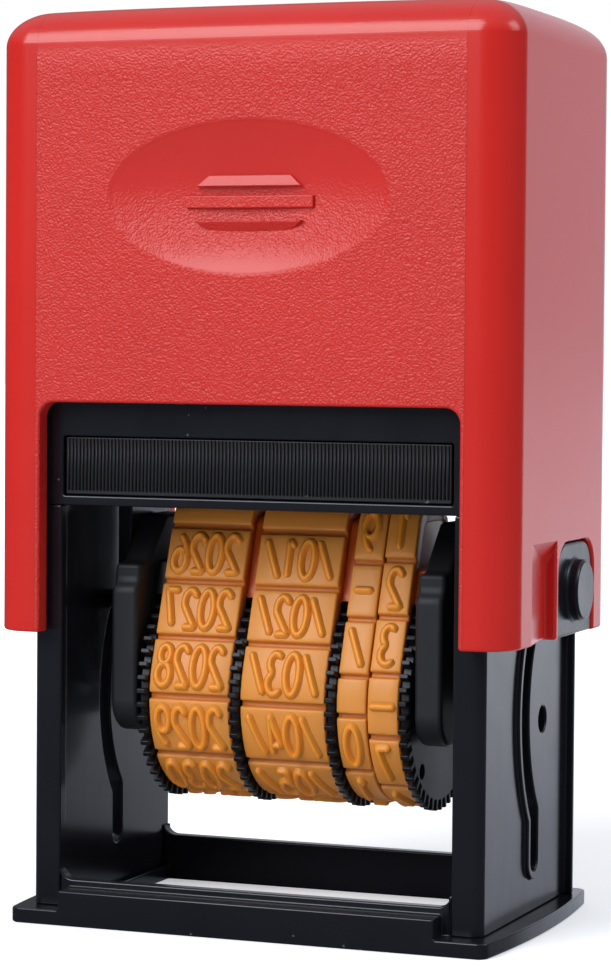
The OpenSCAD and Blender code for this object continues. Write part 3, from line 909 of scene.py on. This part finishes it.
class STAMP_OT_frame(bpy.types.Operator):
    """Rounds the edges of the base, the cheeks, the pad housing and the carriage"""

    bl_idname = "stamp.frame"
    bl_label = "Frame"

    def execute(self, context):
        sizes = setting("stamp_frame")
        foot = solid_copy("base")
        round_corners(foot, sizes.foot_corner)
        mesh = soften(as_mesh(foot), sizes.frame_edge)
        dress("base_foot", mesh, "frame", "frame", "frame_plastic", "base")
        for node in ("left_cheek", "right_cheek", "pad_housing"):
            mesh = rounded_copy(node, sizes.frame_edge)
            dress(node + "_moulding", mesh, "frame", "frame", "frame_plastic", node)
        mesh = rounded_copy("carriage", sizes.frame_edge)
        dress("carriage_moulding", mesh, "frame", "cover", "frame_plastic", "carriage")
        return {"FINISHED"}


class STAMP_OT_locks(bpy.types.Operator):
    """Rounds the two lock buttons"""

    bl_idname = "stamp.locks"
    bl_label = "Lock buttons"

    def execute(self, context):
        for node in ("left_lock", "right_lock"):
            mesh = rounded_copy(node, setting("stamp_frame").lock_edge)
            dress(node + "_button", mesh, "lock", node, "lock_plastic", node)
        return {"FINISHED"}


# Geometry node trees


def node_tree(name, inputs):
    """A geometry node tree with a geometry, a material and named inputs; returns it with its inputs."""
    tree = bpy.data.node_groups.new(name, "GeometryNodeTree")
    for label, kind in {"Geometry": "Geometry", **inputs, "Material": "Material"}.items():
        tree.interface.new_socket(label, in_out="INPUT", socket_type="NodeSocket" + kind)
    tree.interface.new_socket("Geometry", in_out="OUTPUT", socket_type="NodeSocketGeometry")
    return tree, put(tree, "NodeGroupInput").outputs


def geo(tree, kind, values=None, **settings):
    """The first output of a new geometry node."""
    return put(tree, "GeometryNode" + kind, values, **settings).outputs[0]


def shape_of(tree, thing):
    """The geometry of an object."""
    return put(tree, "GeometryNodeObjectInfo", {"Object": thing}).outputs["Geometry"]


def close_tree(tree, given, geometry):
    """Ends a tree in real geometry with its material."""
    real = geo(tree, "RealizeInstances", {"Geometry": geometry})
    smooth = geo(tree, "SetShadeSmooth", {"Geometry": real})
    painted = geo(tree, "SetMaterial", {"Geometry": smooth, "Material": given["Material"]})
    put(tree, "NodeGroupOutput", {"Geometry": painted})
    return tree


def grow(tree, mesh, finish_name, values):
    """Runs a tree on a mesh with its inputs set by identifier, and returns a plain mesh."""
    values = {**values, "Material": finish(finish_name)}
    thing = scratch(mesh)
    modifier = thing.modifiers.new("grow", "NODES")
    modifier.node_group = tree
    for item in tree.interface.items_tree:
        if item.in_out == "INPUT" and item.name in values:
            modifier[item.identifier] = values[item.name]
    return settle(thing)


def rib_row_tree():
    """The given rib, repeated in a row along X."""
    tree, given = node_tree("rib_row", {"Count": "Int", "Start": "Vector", "Pitch": "Float"})
    step = combine(tree, X=given["Pitch"])
    values = {"Count": given["Count"], "Start Location": given["Start"], "Offset": step}
    line = geo(tree, "MeshLine", values)
    row = geo(tree, "InstanceOnPoints", {"Points": line, "Instance": given["Geometry"]})
    return close_tree(tree, given, row)


def toothed_wheel_tree():
    """A wheel's body with the tooth of another object set round its rim, turned about X."""
    tree, given = node_tree("toothed_wheel", {"Tooth": "Object", "Teeth": "Int", "Middle": "Vector"})
    points = geo(tree, "MeshLine", {"Count": given["Teeth"], "Offset": (0.0, 0.0, 0.0)})
    share = calc(tree, "DIVIDE", geo(tree, "InputIndex"), given["Teeth"])
    turn = combine(tree, X=times(tree, share, 2 * math.pi))
    spin = put(tree, "FunctionNodeEulerToRotation", {"Euler": turn}).outputs[0]
    tooth = shape_of(tree, given["Tooth"])
    ring = geo(tree, "InstanceOnPoints", {"Points": points, "Instance": tooth, "Rotation": spin})
    whole = geo(tree, "JoinGeometry", {"Geometry": [given["Geometry"], ring]})
    moved = geo(tree, "Transform", {"Geometry": whole, "Translation": given["Middle"]})
    return close_tree(tree, given, moved)


def coil_tree():
    """A coil spring standing on a point."""
    floats = dict.fromkeys(("Turns", "Radius", "Height", "Wire"), "Float")
    tree, given = node_tree("coil", {**floats, "Foot": "Vector"})
    radii = {"Start Radius": given["Radius"], "End Radius": given["Radius"]}
    values = {"Resolution": 40, "Rotations": given["Turns"], "Height": given["Height"], **radii}
    coil = geo(tree, "CurveSpiral", values)
    half = times(tree, given["Wire"], 0.5)
    section = geo(tree, "CurvePrimitiveCircle", {"Resolution": 12, "Radius": half})
    tube = geo(tree, "CurveToMesh", {"Curve": coil, "Profile Curve": section, "Fill Caps": True})
    moved = geo(tree, "Transform", {"Geometry": tube, "Translation": given["Foot"]})
    return close_tree(tree, given, moved)


def band_cells(tree, given):
    """The given cell repeated along Y, one of them shortened and the last one longer by as much."""
    number = geo(tree, "InputIndex")
    is_short = calc(tree, "COMPARE", number, given["Short Cell"], 0.5)
    is_last = calc(tree, "COMPARE", number, calc(tree, "SUBTRACT", given["Cells"], 1.0), 0.5)
    is_after = calc(tree, "GREATER_THAN", number, calc(tree, "ADD", given["Short Cell"], 0.5))
    halves = times(tree, calc(tree, "SUBTRACT", is_short, is_last), 0.5)
    back = times(tree, calc(tree, "ADD", halves, is_after), given["Short By"])
    ratio = calc(tree, "DIVIDE", given["Short By"], given["Cell Length"])
    stretch = line_of(tree, calc(tree, "SUBTRACT", is_last, is_short), ratio, 1.0)
    first = combine(tree, Y=given["Run"])
    step = combine(tree, Y=given["Cell Length"])
    line = geo(tree, "MeshLine", {"Count": given["Cells"], "Start Location": first, "Offset": step})
    shift = combine(tree, Y=times(tree, back, -1.0))
    spots = geo(tree, "SetPosition", {"Geometry": line, "Offset": shift})
    sizes = combine(tree, X=1.0, Y=stretch, Z=1.0)
    row = geo(tree, "InstanceOnPoints", {"Points": spots, "Instance": given["Geometry"], "Scale": sizes})
    return geo(tree, "RealizeInstances", {"Geometry": row})


def band_figures(tree, given):
    """The figures' strokes, swept with their section and rounded at open ends."""
    lines = geo(tree, "MeshToCurve", {"Mesh": shape_of(tree, given["Figures"])})
    even = geo(tree, "ResampleCurve", {"Curve": lines, "Length": 0.13 * MM}, mode="LENGTH")
    upright = geo(tree, "SetCurveNormal", {"Curve": even}, mode="Z_UP")
    along = put(tree, "GeometryNodeSplineParameter").outputs["Length"]
    total = put(tree, "GeometryNodeSplineLength").outputs["Length"]
    to_end = calc(tree, "MINIMUM", along, calc(tree, "SUBTRACT", total, along))
    share = calc(tree, "MINIMUM", calc(tree, "DIVIDE", to_end, given["End"]), 1.0)
    short = calc(tree, "SUBTRACT", 1.0, share)
    round_end = calc(tree, "SQRT", calc(tree, "SUBTRACT", 1.02, times(tree, short, short)))
    scale = calc(tree, "MAXIMUM", round_end, geo(tree, "InputSplineCyclic"))
    outline = geo(tree, "MeshToCurve", {"Mesh": shape_of(tree, given["Section"])})
    values = {"Curve": upright, "Profile Curve": outline, "Scale": scale, "Fill Caps": True}
    return geo(tree, "CurveToMesh", values)


def date_band_tree():
    """Cells in a row and swept figures, wrapped round a closed loop.

    The flat band lies with X across, Y along the loop and Z out of its middle layer."""
    kinds = {
        "Object": ("Figures", "Section", "Loop"),
        "Int": ("Cells", "Short Cell"),
        "Float": ("Cell Length", "Run", "Face", "End", "Short By"),
    }
    tree, given = node_tree("date_band", {label: kind for kind in kinds for label in kinds[kind]})
    flat = geo(tree, "JoinGeometry", {"Geometry": [band_cells(tree, given), band_figures(tree, given)]})
    x, y, z = separate(tree, geo(tree, "InputPosition"))
    values = {"Geometry": flat, "Name": "relief", "Value": calc(tree, "SUBTRACT", z, given["Face"])}
    noted = geo(tree, "StoreNamedAttribute", values, data_type="FLOAT", domain="POINT")
    around = times(tree, given["Cell Length"], given["Cells"])
    turn = calc(tree, "FRACT", calc(tree, "DIVIDE", y, around))
    path = geo(tree, "MeshToCurve", {"Mesh": shape_of(tree, given["Loop"])})
    values = {"Curves": path, "Factor": turn}
    spot = put(tree, "GeometryNodeSampleCurve", values, mode="FACTOR", use_all_curves=True).outputs
    out = vector_calc(tree, "CROSS_PRODUCT", spot["Tangent"], (1.0, 0.0, 0.0))
    values = {0: vector_calc(tree, "NORMALIZE", out), "Scale": z}
    risen = put(tree, "ShaderNodeVectorMath", values, operation="SCALE").outputs["Vector"]
    level = vector_calc(tree, "ADD", spot["Position"], combine(tree, X=x))
    target = vector_calc(tree, "ADD", level, risen)
    wrapped = geo(tree, "SetPosition", {"Geometry": noted, "Position": target})
    closed = geo(tree, "MergeByDistance", {"Geometry": wrapped, "Distance": MERGE_DISTANCE})
    return close_tree(tree, given, geo(tree, "FlipFaces", {"Mesh": closed}))


# Ink tray and pad


def rib_mesh(sizes):
    """One half-round rib of the tray front, standing at the origin and facing -Y."""
    relief = 0.2 * MM
    outline = arc((0.0, 0.0), (sizes.rib_width / 2, relief), 180, 360, 5)
    return as_mesh(prism(outline, 0.0, sizes.rib_height, lambda u, v, along: (u, v, along)))


def pad_mesh():
    """Felt pad: a block with a soft crown and drawn-in sides."""
    low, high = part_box("ink_pad")
    columns, rows, layers = 28, 16, 5
    middle = (low + high) / 2
    half = (high - low) / 2
    rim, fall, reach, waist = 0.02, 0.1, 0.05, 0.012
    bm = bmesh.new()
    bmesh.ops.create_grid(bm, x_segments=columns, y_segments=rows, size=1.0)
    sides = bmesh.ops.extrude_face_region(bm, geom=bm.faces[:])["geom"]
    top = [v for v in sides if isinstance(v, bmesh.types.BMVert)]
    for vert in top:
        vert.co.z = 1.0
    for vert in set(bm.verts) - set(top):
        vert.co.z = -1.0
    walls = [e for e in bm.edges if abs(e.verts[0].co.z - e.verts[1].co.z) > 1]
    bmesh.ops.subdivide_edges(bm, edges=walls, cuts=layers, use_grid_fill=True)
    bmesh.ops.recalc_face_normals(bm, faces=bm.faces)
    for vert in bm.verts:
        x, y, z = vert.co
        edge = min(1.0 - abs(x) + rim, 1.0 - abs(y) + rim)
        round_off = 1.0 - fall * math.exp(-edge / reach)
        draw_in = 1.0 - waist * (1.0 - z * z)
        spread = (x * draw_in, y * draw_in, z * round_off)
        vert.co = middle + Vector(a * b for a, b in zip(spread, half))
    return as_mesh(bm)


class STAMP_OT_ink(bpy.types.Operator):
    """Builds the ribbed ink tray and its felt pad"""

    bl_idname = "stamp.ink"
    bl_label = "Ink tray"

    def execute(self, context):
        sizes = setting("stamp_frame")
        low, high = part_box("ink_tray")
        tray = rounded_copy("ink_tray", SMALL_EDGE)
        dress("ink_tray_moulding", tray, "tray", "tray", "tray_plastic", "ink_tray")
        ribs = int((high.x - low.x) / sizes.rib_pitch)
        border = 0.1 * MM
        start = Vector((-(ribs - 1) / 2 * sizes.rib_pitch, low.y, high.z - sizes.rib_height - border))
        values = {"Count": ribs, "Start": start, "Pitch": sizes.rib_pitch}
        row = grow(rib_row_tree(), rib_mesh(sizes), "tray", values)
        dress("ink_tray_ribs", row, "tray", "tray", "tray_plastic")
        pad = dress("ink_pad_felt", pad_mesh(), "felt", "tray", "pad_felt", "ink_pad")
        return {"FINISHED"}


# Turning unit


class STAMP_OT_unit(bpy.types.Operator):
    """Rounds the side plates, the platen core and the axle of the turning unit"""

    bl_idname = "stamp.unit"
    bl_label = "Turning unit"

    def execute(self, context):
        axle_edge = 0.2 * MM
        for node in ("left_plate", "right_plate"):
            mesh = rounded_copy(node, setting("stamp_frame").plate_edge)
            dress(node + "_moulding", mesh, "unit", "turning_unit", "unit_plastic", node)
        core = rounded_copy("platen_core", SMALL_EDGE)
        dress("platen_core_moulding", core, "core", "turning_unit", "core_plastic", "platen_core")
        axle = rounded_copy("wheel_axle", axle_edge)
        dress("wheel_axle_rod", axle, "steel", "turning_unit", "axle_steel", "wheel_axle")
        return {"FINISHED"}


def lathe(profile):
    """A closed (x, radius) profile turned about X."""
    steps = 100
    bm = bmesh.new()
    turns = [2 * math.pi * i / steps for i in range(steps)]
    rings = [[bm.verts.new((x, r * math.cos(a), r * math.sin(a))) for x, r in profile] for a in turns]
    bridge(bm, rings + rings[:1])
    bmesh.ops.recalc_face_normals(bm, faces=bm.faces)
    return bm


def tooth_mesh(sizes, start):
    """One tooth standing out along Z, with soft edges."""
    root = sizes.radius - sizes.tooth_height
    foot = sizes.tooth_width / 2
    taper = 0.7
    tip = foot * taper
    sink = 0.15 * MM
    tooth_edge = 0.09 * MM
    outline = [(-foot, root - sink), (foot, root - sink), (tip, sizes.radius), (-tip, sizes.radius)]
    solid = prism(outline, start, start + sizes.disc, lambda u, v, along: (along, u, v))
    return soften(as_mesh(solid), tooth_edge, 2)


class STAMP_OT_wheels(bpy.types.Operator):
    """Builds the four toothed thumbwheels"""

    bl_idname = "stamp.wheels"
    bl_label = "Thumbwheels"

    def execute(self, context):
        sizes = setting("stamp_wheel")
        tree = toothed_wheel_tree()
        root = sizes.radius - sizes.tooth_height
        bore, drum = sizes.bore_radius, sizes.drum_radius
        soft = 0.1 * MM
        body_edge = 0.05 * MM
        middle = Vector((0.0, WHEEL_AXLE.y, WHEEL_AXLE.z))
        for band in BANDS:
            node = band + "_wheel"
            low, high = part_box(node)
            near, far = (high.x, low.x) if band == "units" else (low.x, high.x)
            inward = math.copysign(1.0, far - near)
            edge = near + inward * sizes.disc
            profile = [
                (near, bore), (near, root - soft), (near + inward * soft, root),
                (edge - inward * soft, root), (edge, root - soft), (edge, drum), (far, drum), (far, bore),
            ]
            tooth = scratch(tooth_mesh(sizes, min(near, edge)))
            body = as_mesh(lathe(profile))
            if band == "units":
                hole = arc(HOLE_PLACE, HOLE_RADIUS, 0, 345, 23)
                body = carve(body, [side_prism(hole, 1, edge - 1 * MM, near + 1 * MM)])
            body = soften(body, body_edge, 1, 50.0)
            mesh = grow(tree, body, "wheel", {"Tooth": tooth, "Teeth": sizes.teeth, "Middle": middle})
            bpy.data.objects.remove(tooth)
            dress(node + "_moulding", mesh, "wheel", node, "wheel_plastic", node)
        return {"FINISHED"}


# Date bands


def glyph_strokes(letter):
    """Strokes of a figure in a box from 0 to 1, each with a flag that says whether it closes."""
    rings = {
        "0": [(0.5, 0.5, 0.5)],
        "6": [(0.3, 0.48, 0.3)],
        "8": [(0.76, 0.4, 0.24), (0.26, 0.49, 0.26)],
        "9": [(0.7, 0.48, 0.3)],
    }
    lines = {
        "1": [[(0.22, 0.8), (0.6, 1.0), (0.6, 0.0)]],
        "2": [arc((0.5, 0.7), (0.46, 0.3), 165, -28, 18) + [(0.03, 0.0), (0.98, 0.0)]],
        "3": [
            arc((0.46, 0.75), (0.44, 0.25), 155, -90, 16),
            arc((0.46, 0.25), (0.5, 0.25), 90, -155, 16),
        ],
        "4": [[(0.72, 0.0), (0.72, 1.0), (0.02, 0.27), (1.0, 0.27)]],
        "5": [[(0.9, 1.0), (0.16, 1.0), (0.1, 0.54)] + arc((0.47, 0.31), (0.49, 0.31), 120, -150, 18)],
        "6": [arc((0.95, 0.31), (0.93, 0.69), 102, 178, 12)],
        "7": [[(0.02, 1.0), (0.98, 1.0), (0.4, 0.0)]],
        "9": [arc((0.05, 0.69), (0.93, 0.69), -78, -2, 12)],
        "/": [[(-0.08, -0.04), (1.08, 1.04)]],
        "-": [[(-0.25, 0.5), (1.25, 0.5)]],
        "_": [[(-0.5, 0.5), (1.5, 0.5)]],
    }
    strokes = [(points, False) for points in lines.get(letter, [])]
    ovals = [arc((0.5, v), (wide, high), 90, 450, 28) for v, wide, high in rings.get(letter, [])]
    return [(points[:-1], True) for points in ovals] + strokes


def chain(bm, points, closed=True):
    """Adds points joined by edges."""
    verts = [bm.verts.new(p) for p in points]
    for a, b in zip(verts, verts[1:] + (verts[:1] if closed else [])):
        bm.edges.new((a, b))


def band_words(band, cells):
    """The figures of a band, from the platen down the front; the first year and month cells are bare."""
    if band == "year":
        return [""] + [str(2025 + k) for k in range(1, cells)]
    if band == "month":
        return [""] + ["/%02d/" % k for k in range(1, cells)]
    if band == "tens":
        return list("89-/ 012301-/")[:cells]
    return list("0123_74568901")[:cells]


def figure_lines(sizes, words, cell, run, face, short):
    """Mirrored strokes of all the figures on the flat band, as a mesh of edges."""
    bm = bmesh.new()
    for k, word in enumerate(words):
        middle = k * cell + run - (short if k > sizes.short_cell else 0.0)
        for i, letter in enumerate(word):
            left = (i - (len(word) - 1) / 2) * sizes.figure_pitch - sizes.figure_width / 2
            for points, closed in glyph_strokes(letter):
                spots = []
                for u, v in points:
                    x = -(left + u * sizes.figure_width)
                    spots.append((x, middle + (0.5 - v) * sizes.figure_height, face))
                chain(bm, spots, closed)
    return bm


def section_lines(sizes):
    """Section of a stroke: broad soft foot and narrow top, closed under the face."""
    half = sizes.stroke / 2
    rise = sizes.relief
    sink = 0.12 * MM
    right = [(half, -sink), (half, 0.0), (0.66 * half, 0.3 * rise)]
    right += [(0.5 * half, 0.72 * rise), (0.3 * half, rise)]
    bm = bmesh.new()
    chain(bm, [(x, -y, 0.0) for x, y in right + [(-x, y) for x, y in reversed(right)]])
    return bm


def loop_lines(sizes, outer, top):
    """Middle layer of a band: a drum, two slanting runs and a flat over the platen; and its length."""
    half = sizes.thickness / 2
    drum = outer - half
    edge = sizes.edge_radius + half
    level = top - sizes.edge_radius - sizes.thickness
    reach = math.hypot(sizes.platen_half, level)
    lean = math.degrees(math.atan2(sizes.platen_half, level) + math.acos((drum - edge) / reach))
    side = arc((sizes.platen_half, level), edge, 90, 90 - lean, 24)
    side += arc((0.0, 0.0), drum, 90 - lean, -90, 60)
    points = [(0.0, level + edge)] + [(-u, v) for u, v in side] + side[-2::-1]
    bm = bmesh.new()
    chain(bm, [(0.0, WHEEL_AXLE.y + u, WHEEL_AXLE.z + v) for u, v in points])
    return bm, sum(line.calc_length() for line in bm.edges)


def cell_mesh(sizes, start, width, cell):
    """One cell of the flat band: a pad with soft edges between two half grooves."""
    face = sizes.thickness / 2
    soft = sizes.cell_edge
    half = cell / 2
    wall = half - sizes.groove_width / 2
    floor = face - sizes.groove_depth
    inner = 12
    rise = [(-half, floor), (-wall - 0.03 * MM, floor), (-wall, face - soft)]
    rise.append((-wall + 0.35 * soft, face - 0.3 * soft))
    flat = [(-wall + soft + 2 * (wall - soft) * i / inner, face) for i in range(inner + 1)]
    profile = rise + flat + [(-s, h) for s, h in reversed(rise)]
    end = start + width
    columns = [(start, -1.0), (start + 0.3 * soft, -0.35), (start + soft, 0.0)]
    columns += [(start + width * share, 0.0) for share in (0.3, 0.5, 0.7)]
    columns += [(end - soft, 0.0), (end - 0.3 * soft, -0.35), (end, -1.0)]
    bm = bmesh.new()
    rows = []
    for s, h in profile:
        line = [(start, s, -face), *((x, s, h + drop * soft) for x, drop in columns), (end, s, -face)]
        rows.append([bm.verts.new(p) for p in line])
    bridge(bm, rows)
    return as_mesh(bm)


class STAMP_OT_bands(bpy.types.Operator):
    """Builds the four rubber bands with raised, mirrored figures"""

    bl_idname = "stamp.bands"
    bl_label = "Date bands"

    def execute(self, context):
        sizes = setting("stamp_band")
        tree = date_band_tree()
        low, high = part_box("year_band")
        loop, around = loop_lines(sizes, WHEEL_AXLE.z - low.z, high.z - WHEEL_AXLE.z)
        cell = around / sizes.cells
        face = sizes.thickness / 2
        path = scratch(as_mesh(loop))
        section = scratch(as_mesh(section_lines(sizes)))
        for band, run in zip(BANDS, BAND_RUNS):
            short = sizes.short_by if band == "tens" else 0.0
            node = band + "_band"
            low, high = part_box(node)
            strokes = figure_lines(sizes, band_words(band, sizes.cells), cell, run, face, short)
            bmesh.ops.translate(strokes, verts=strokes.verts, vec=((low.x + high.x) / 2, 0.0, 0.0))
            figures = scratch(as_mesh(strokes))
            values = {
                "Figures": figures, "Section": section, "Loop": path, "Cells": sizes.cells,
                "Cell Length": cell, "Run": run, "Face": face, "End": sizes.stroke / 2,
                "Short Cell": sizes.short_cell, "Short By": short,
            }
            mesh = grow(tree, cell_mesh(sizes, low.x, high.x - low.x, cell), "band", values)
            bpy.data.objects.remove(figures)
            dress(node + "_rubber", mesh, "band", "turning_unit", "band_rubber", node)
        for thing in (path, section):
            bpy.data.objects.remove(thing)
        return {"FINISHED"}


class STAMP_OT_spring(bpy.types.Operator):
    """Builds the coil spring that lifts the cover"""

    bl_idname = "stamp.spring"
    bl_label = "Return spring"

    def execute(self, context):
        sizes = setting("stamp_spring")
        low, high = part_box("return_spring")
        values = {
            "Turns": float(sizes.turns), "Radius": sizes.coil_radius, "Wire": sizes.wire,
            "Height": high.z - low.z - sizes.wire,
            "Foot": Vector(((low.x + high.x) / 2, (low.y + high.y) / 2, low.z + sizes.wire / 2)),
        }
        mesh = grow(coil_tree(), bpy.data.meshes.new("coil_seed"), "steel", values)
        coil = dress("return_spring_coil", mesh, "steel", "frame", "spring_steel", "return_spring")
        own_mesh(coil)
        return {"FINISHED"}


# Stage

CAMERA_PLACE = Vector((106.815, -274.205, 53.249)) * MM
CAMERA_TURN = 21.29
CAMERA_TILT = 2.24
CAMERA_ROLL = 0.45
FOCAL_PIXELS = 3178.56
PHOTO_SIZE = (611, 966)
PHOTO_MIDDLE = (306.8, 464.58)
WHITE = (1.0, 1.0, 1.0)
MIRRORED_WHITE = (0.78, 0.82, 0.92)
BACKDROP_EDGE = (0.895, 0.925)


def add_camera(scene):
    """A camera at the photograph's place."""
    turn, tilt, roll = (math.radians(a) for a in (CAMERA_TURN, CAMERA_TILT, CAMERA_ROLL))
    back = Vector((math.sin(turn) * math.cos(tilt), -math.cos(turn) * math.cos(tilt), math.sin(tilt)))
    right = Vector((math.cos(turn), math.sin(turn), 0.0))
    up = back.cross(right)
    across = math.cos(roll) * right + math.sin(roll) * up
    upward = math.cos(roll) * up - math.sin(roll) * right
    data = bpy.data.cameras.new("photo_camera")
    data.sensor_width = 36.0
    data.lens = FOCAL_PIXELS * data.sensor_width / max(PHOTO_SIZE)
    data.shift_x = (PHOTO_SIZE[0] / 2 - PHOTO_MIDDLE[0]) / max(PHOTO_SIZE)
    data.shift_y = (PHOTO_MIDDLE[1] - PHOTO_SIZE[1] / 2) / max(PHOTO_SIZE)
    data.clip_start = 0.01
    data.clip_end = 10.0
    camera = bpy.data.objects.new("photo_camera", data)
    place = Matrix((across, upward, back)).transposed().to_4x4()
    place.translation = CAMERA_PLACE
    camera.matrix_world = place
    scene.collection.objects.link(camera)
    scene.camera = camera


def add_lamp(scene, name, place, target, size, power):
    """A soft rectangular lamp that faces a point."""
    data = bpy.data.lights.new(name, "AREA")
    data.shape = "RECTANGLE"
    data.size, data.size_y = size
    data.energy = power
    lamp = bpy.data.objects.new(name, data)
    lamp.location = place
    lamp.rotation_euler = (Vector(target) - Vector(place)).to_track_quat("-Z", "Y").to_euler()
    scene.collection.objects.link(lamp)


def add_world(scene):
    """Dim surroundings with a white backdrop behind the stamp; the camera sees white everywhere."""
    world = bpy.data.worlds.new("pale_studio")
    world.use_nodes = True
    tree = world.node_tree
    _, y, z = separate(tree, put(tree, "ShaderNodeTexCoord").outputs["Generated"])
    behind = soft_step(tree, y, *BACKDROP_EDGE)
    above = soft_step(tree, z, 0.1, 0.9)
    light = tree.nodes["Background"]
    feed(tree, light, {"Color": (0.9, 0.95, 1.0, 1.0), "Strength": line_of(tree, above, 0.5, 0.1)})
    ray = put(tree, "ShaderNodeLightPath").outputs
    tone = mix_colour(tree, ray["Is Camera Ray"], MIRRORED_WHITE, WHITE)
    white = put(tree, "ShaderNodeBackground", {"Color": tone, "Strength": 1.0})
    mirrored = calc(tree, "MAXIMUM", ray["Is Glossy Ray"], ray["Is Transmission Ray"])
    shown = calc(tree, "MAXIMUM", ray["Is Camera Ray"], times(tree, mirrored, behind))
    seen = put(tree, "ShaderNodeMixShader", {0: shown, 1: light.outputs[0], 2: white.outputs[0]})
    feed(tree, tree.nodes["World Output"], {"Surface": seen.outputs[0]})
    scene.world = world


def add_floor(scene):
    """A pale floor that keeps the stamp's shadow, glows less near the stamp as a painted shade, turns white
    far away and is dim beside the backdrop.
    """
    bm = bmesh.new()
    bmesh.ops.create_grid(bm, x_segments=1, y_segments=1, size=3.0)
    floor = bpy.data.objects.new("floor", as_mesh(bm, "floor"))
    material, tree, shader = blank_material("pale_floor")
    blotch = effect(tree, soft_blotches, Scale=8.0)
    away = put(tree, "ShaderNodeVectorMath", {0: object_point(tree)}, operation="LENGTH").outputs["Value"]
    ray = put(tree, "ShaderNodeLightPath").outputs
    glossy = ray["Is Glossy Ray"]
    # Near the stamp the floor glows less, a painted shade, and reflections see it darker still.
    near = mix_colour(tree, glossy, (0.42, 0.43, 0.45), (0.21, 0.24, 0.32))
    far = mix_colour(tree, glossy, WHITE, MIRRORED_WHITE)
    looked_at = calc(tree, "MAXIMUM", ray["Is Camera Ray"], glossy)
    feed(tree, shader, {
        "Base Color": mix_colour(tree, blotch, (0.86, 0.86, 0.87), (0.9, 0.9, 0.91)),
        "Roughness": 0.8,
        "Emission Color": mix_colour(tree, soft_step(tree, away, 0.04, 0.4), near, far),
        "Emission Strength": calc(tree, "MAXIMUM", looked_at, ray["Is Transmission Ray"]),
    })
    dim = put(tree, "ShaderNodeBsdfDiffuse", {"Color": (0.12, 0.125, 0.14, 1.0)})
    view = put(tree, "ShaderNodeNewGeometry").outputs["Incoming"]
    level = vector_calc(tree, "MULTIPLY", view, (1.0, 1.0, 0.0))
    heading = separate(tree, vector_calc(tree, "NORMALIZE", level))[1]
    aside = soft_step(tree, heading, -BACKDROP_EDGE[1], -BACKDROP_EDGE[0])
    mirrored = times(tree, glossy, aside)
    seen = put(tree, "ShaderNodeMixShader", {0: mirrored, 1: shader.outputs[0], 2: dim.outputs[0]})
    feed(tree, tree.nodes["Material Output"], {"Surface": seen.outputs[0]})
    floor.data.materials.append(material)
    scene.collection.objects.link(floor)


class STAMP_OT_stage(bpy.types.Operator):
    """Adds the floor, the light and the camera"""

    bl_idname = "stamp.stage"
    bl_label = "Stage"

    def execute(self, context):
        scene = context.scene
        middle = (0.0, 0.0, 0.045)
        add_floor(scene)
        add_world(scene)
        add_lamp(scene, "front_softbox", (-0.26, -0.58, 0.49), middle, (0.42, 0.62), 4.7)
        add_lamp(scene, "right_softbox", (0.55, 0.1, 0.42), middle, (0.3, 0.3), 1.05)
        add_camera(scene)
        scene.view_settings.view_transform = "Standard"
        return {"FINISHED"}


class STAMP_PT_sidebar(bpy.types.Panel):
    """Lists the steps that build the stamp"""

    bl_idname = "STAMP_PT_sidebar"
    bl_label = "Date stamp"
    bl_space_type = "VIEW_3D"
    bl_region_type = "UI"
    bl_category = "Date stamp"

    def draw(self, context):
        for step in OPERATORS:
            self.layout.operator(step.bl_idname)
        for name, group in PROPERTY_GROUPS.items():
            box = self.layout.box()
            for field in group.__annotations__:
                box.prop(getattr(context.scene, name), field)


OPERATORS = (
    STAMP_OT_cover,
    STAMP_OT_frame,
    STAMP_OT_locks,
    STAMP_OT_ink,
    STAMP_OT_unit,
    STAMP_OT_wheels,
    STAMP_OT_bands,
    STAMP_OT_spring,
    STAMP_OT_stage,
)


def register():
    for name, group in PROPERTY_GROUPS.items():
        bpy.utils.register_class(group)
        setattr(bpy.types.Scene, name, bpy.props.PointerProperty(type=group))
    for part in (*OPERATORS, STAMP_PT_sidebar):
        bpy.utils.register_class(part)


def unregister():
    for part in (STAMP_PT_sidebar, *reversed(OPERATORS)):
        bpy.utils.unregister_class(part)
    for name, group in PROPERTY_GROUPS.items():
        delattr(bpy.types.Scene, name)
        bpy.utils.unregister_class(group)


def main():
    register()
    bpy.ops.stamp.cover()
    bpy.ops.stamp.frame()
    bpy.ops.stamp.locks()
    bpy.ops.stamp.ink()
    bpy.ops.stamp.unit()
    bpy.ops.stamp.wheels()
    bpy.ops.stamp.bands()
    bpy.ops.stamp.spring()
    bpy.ops.stamp.stage()


if __name__ == "__main__":
    main()
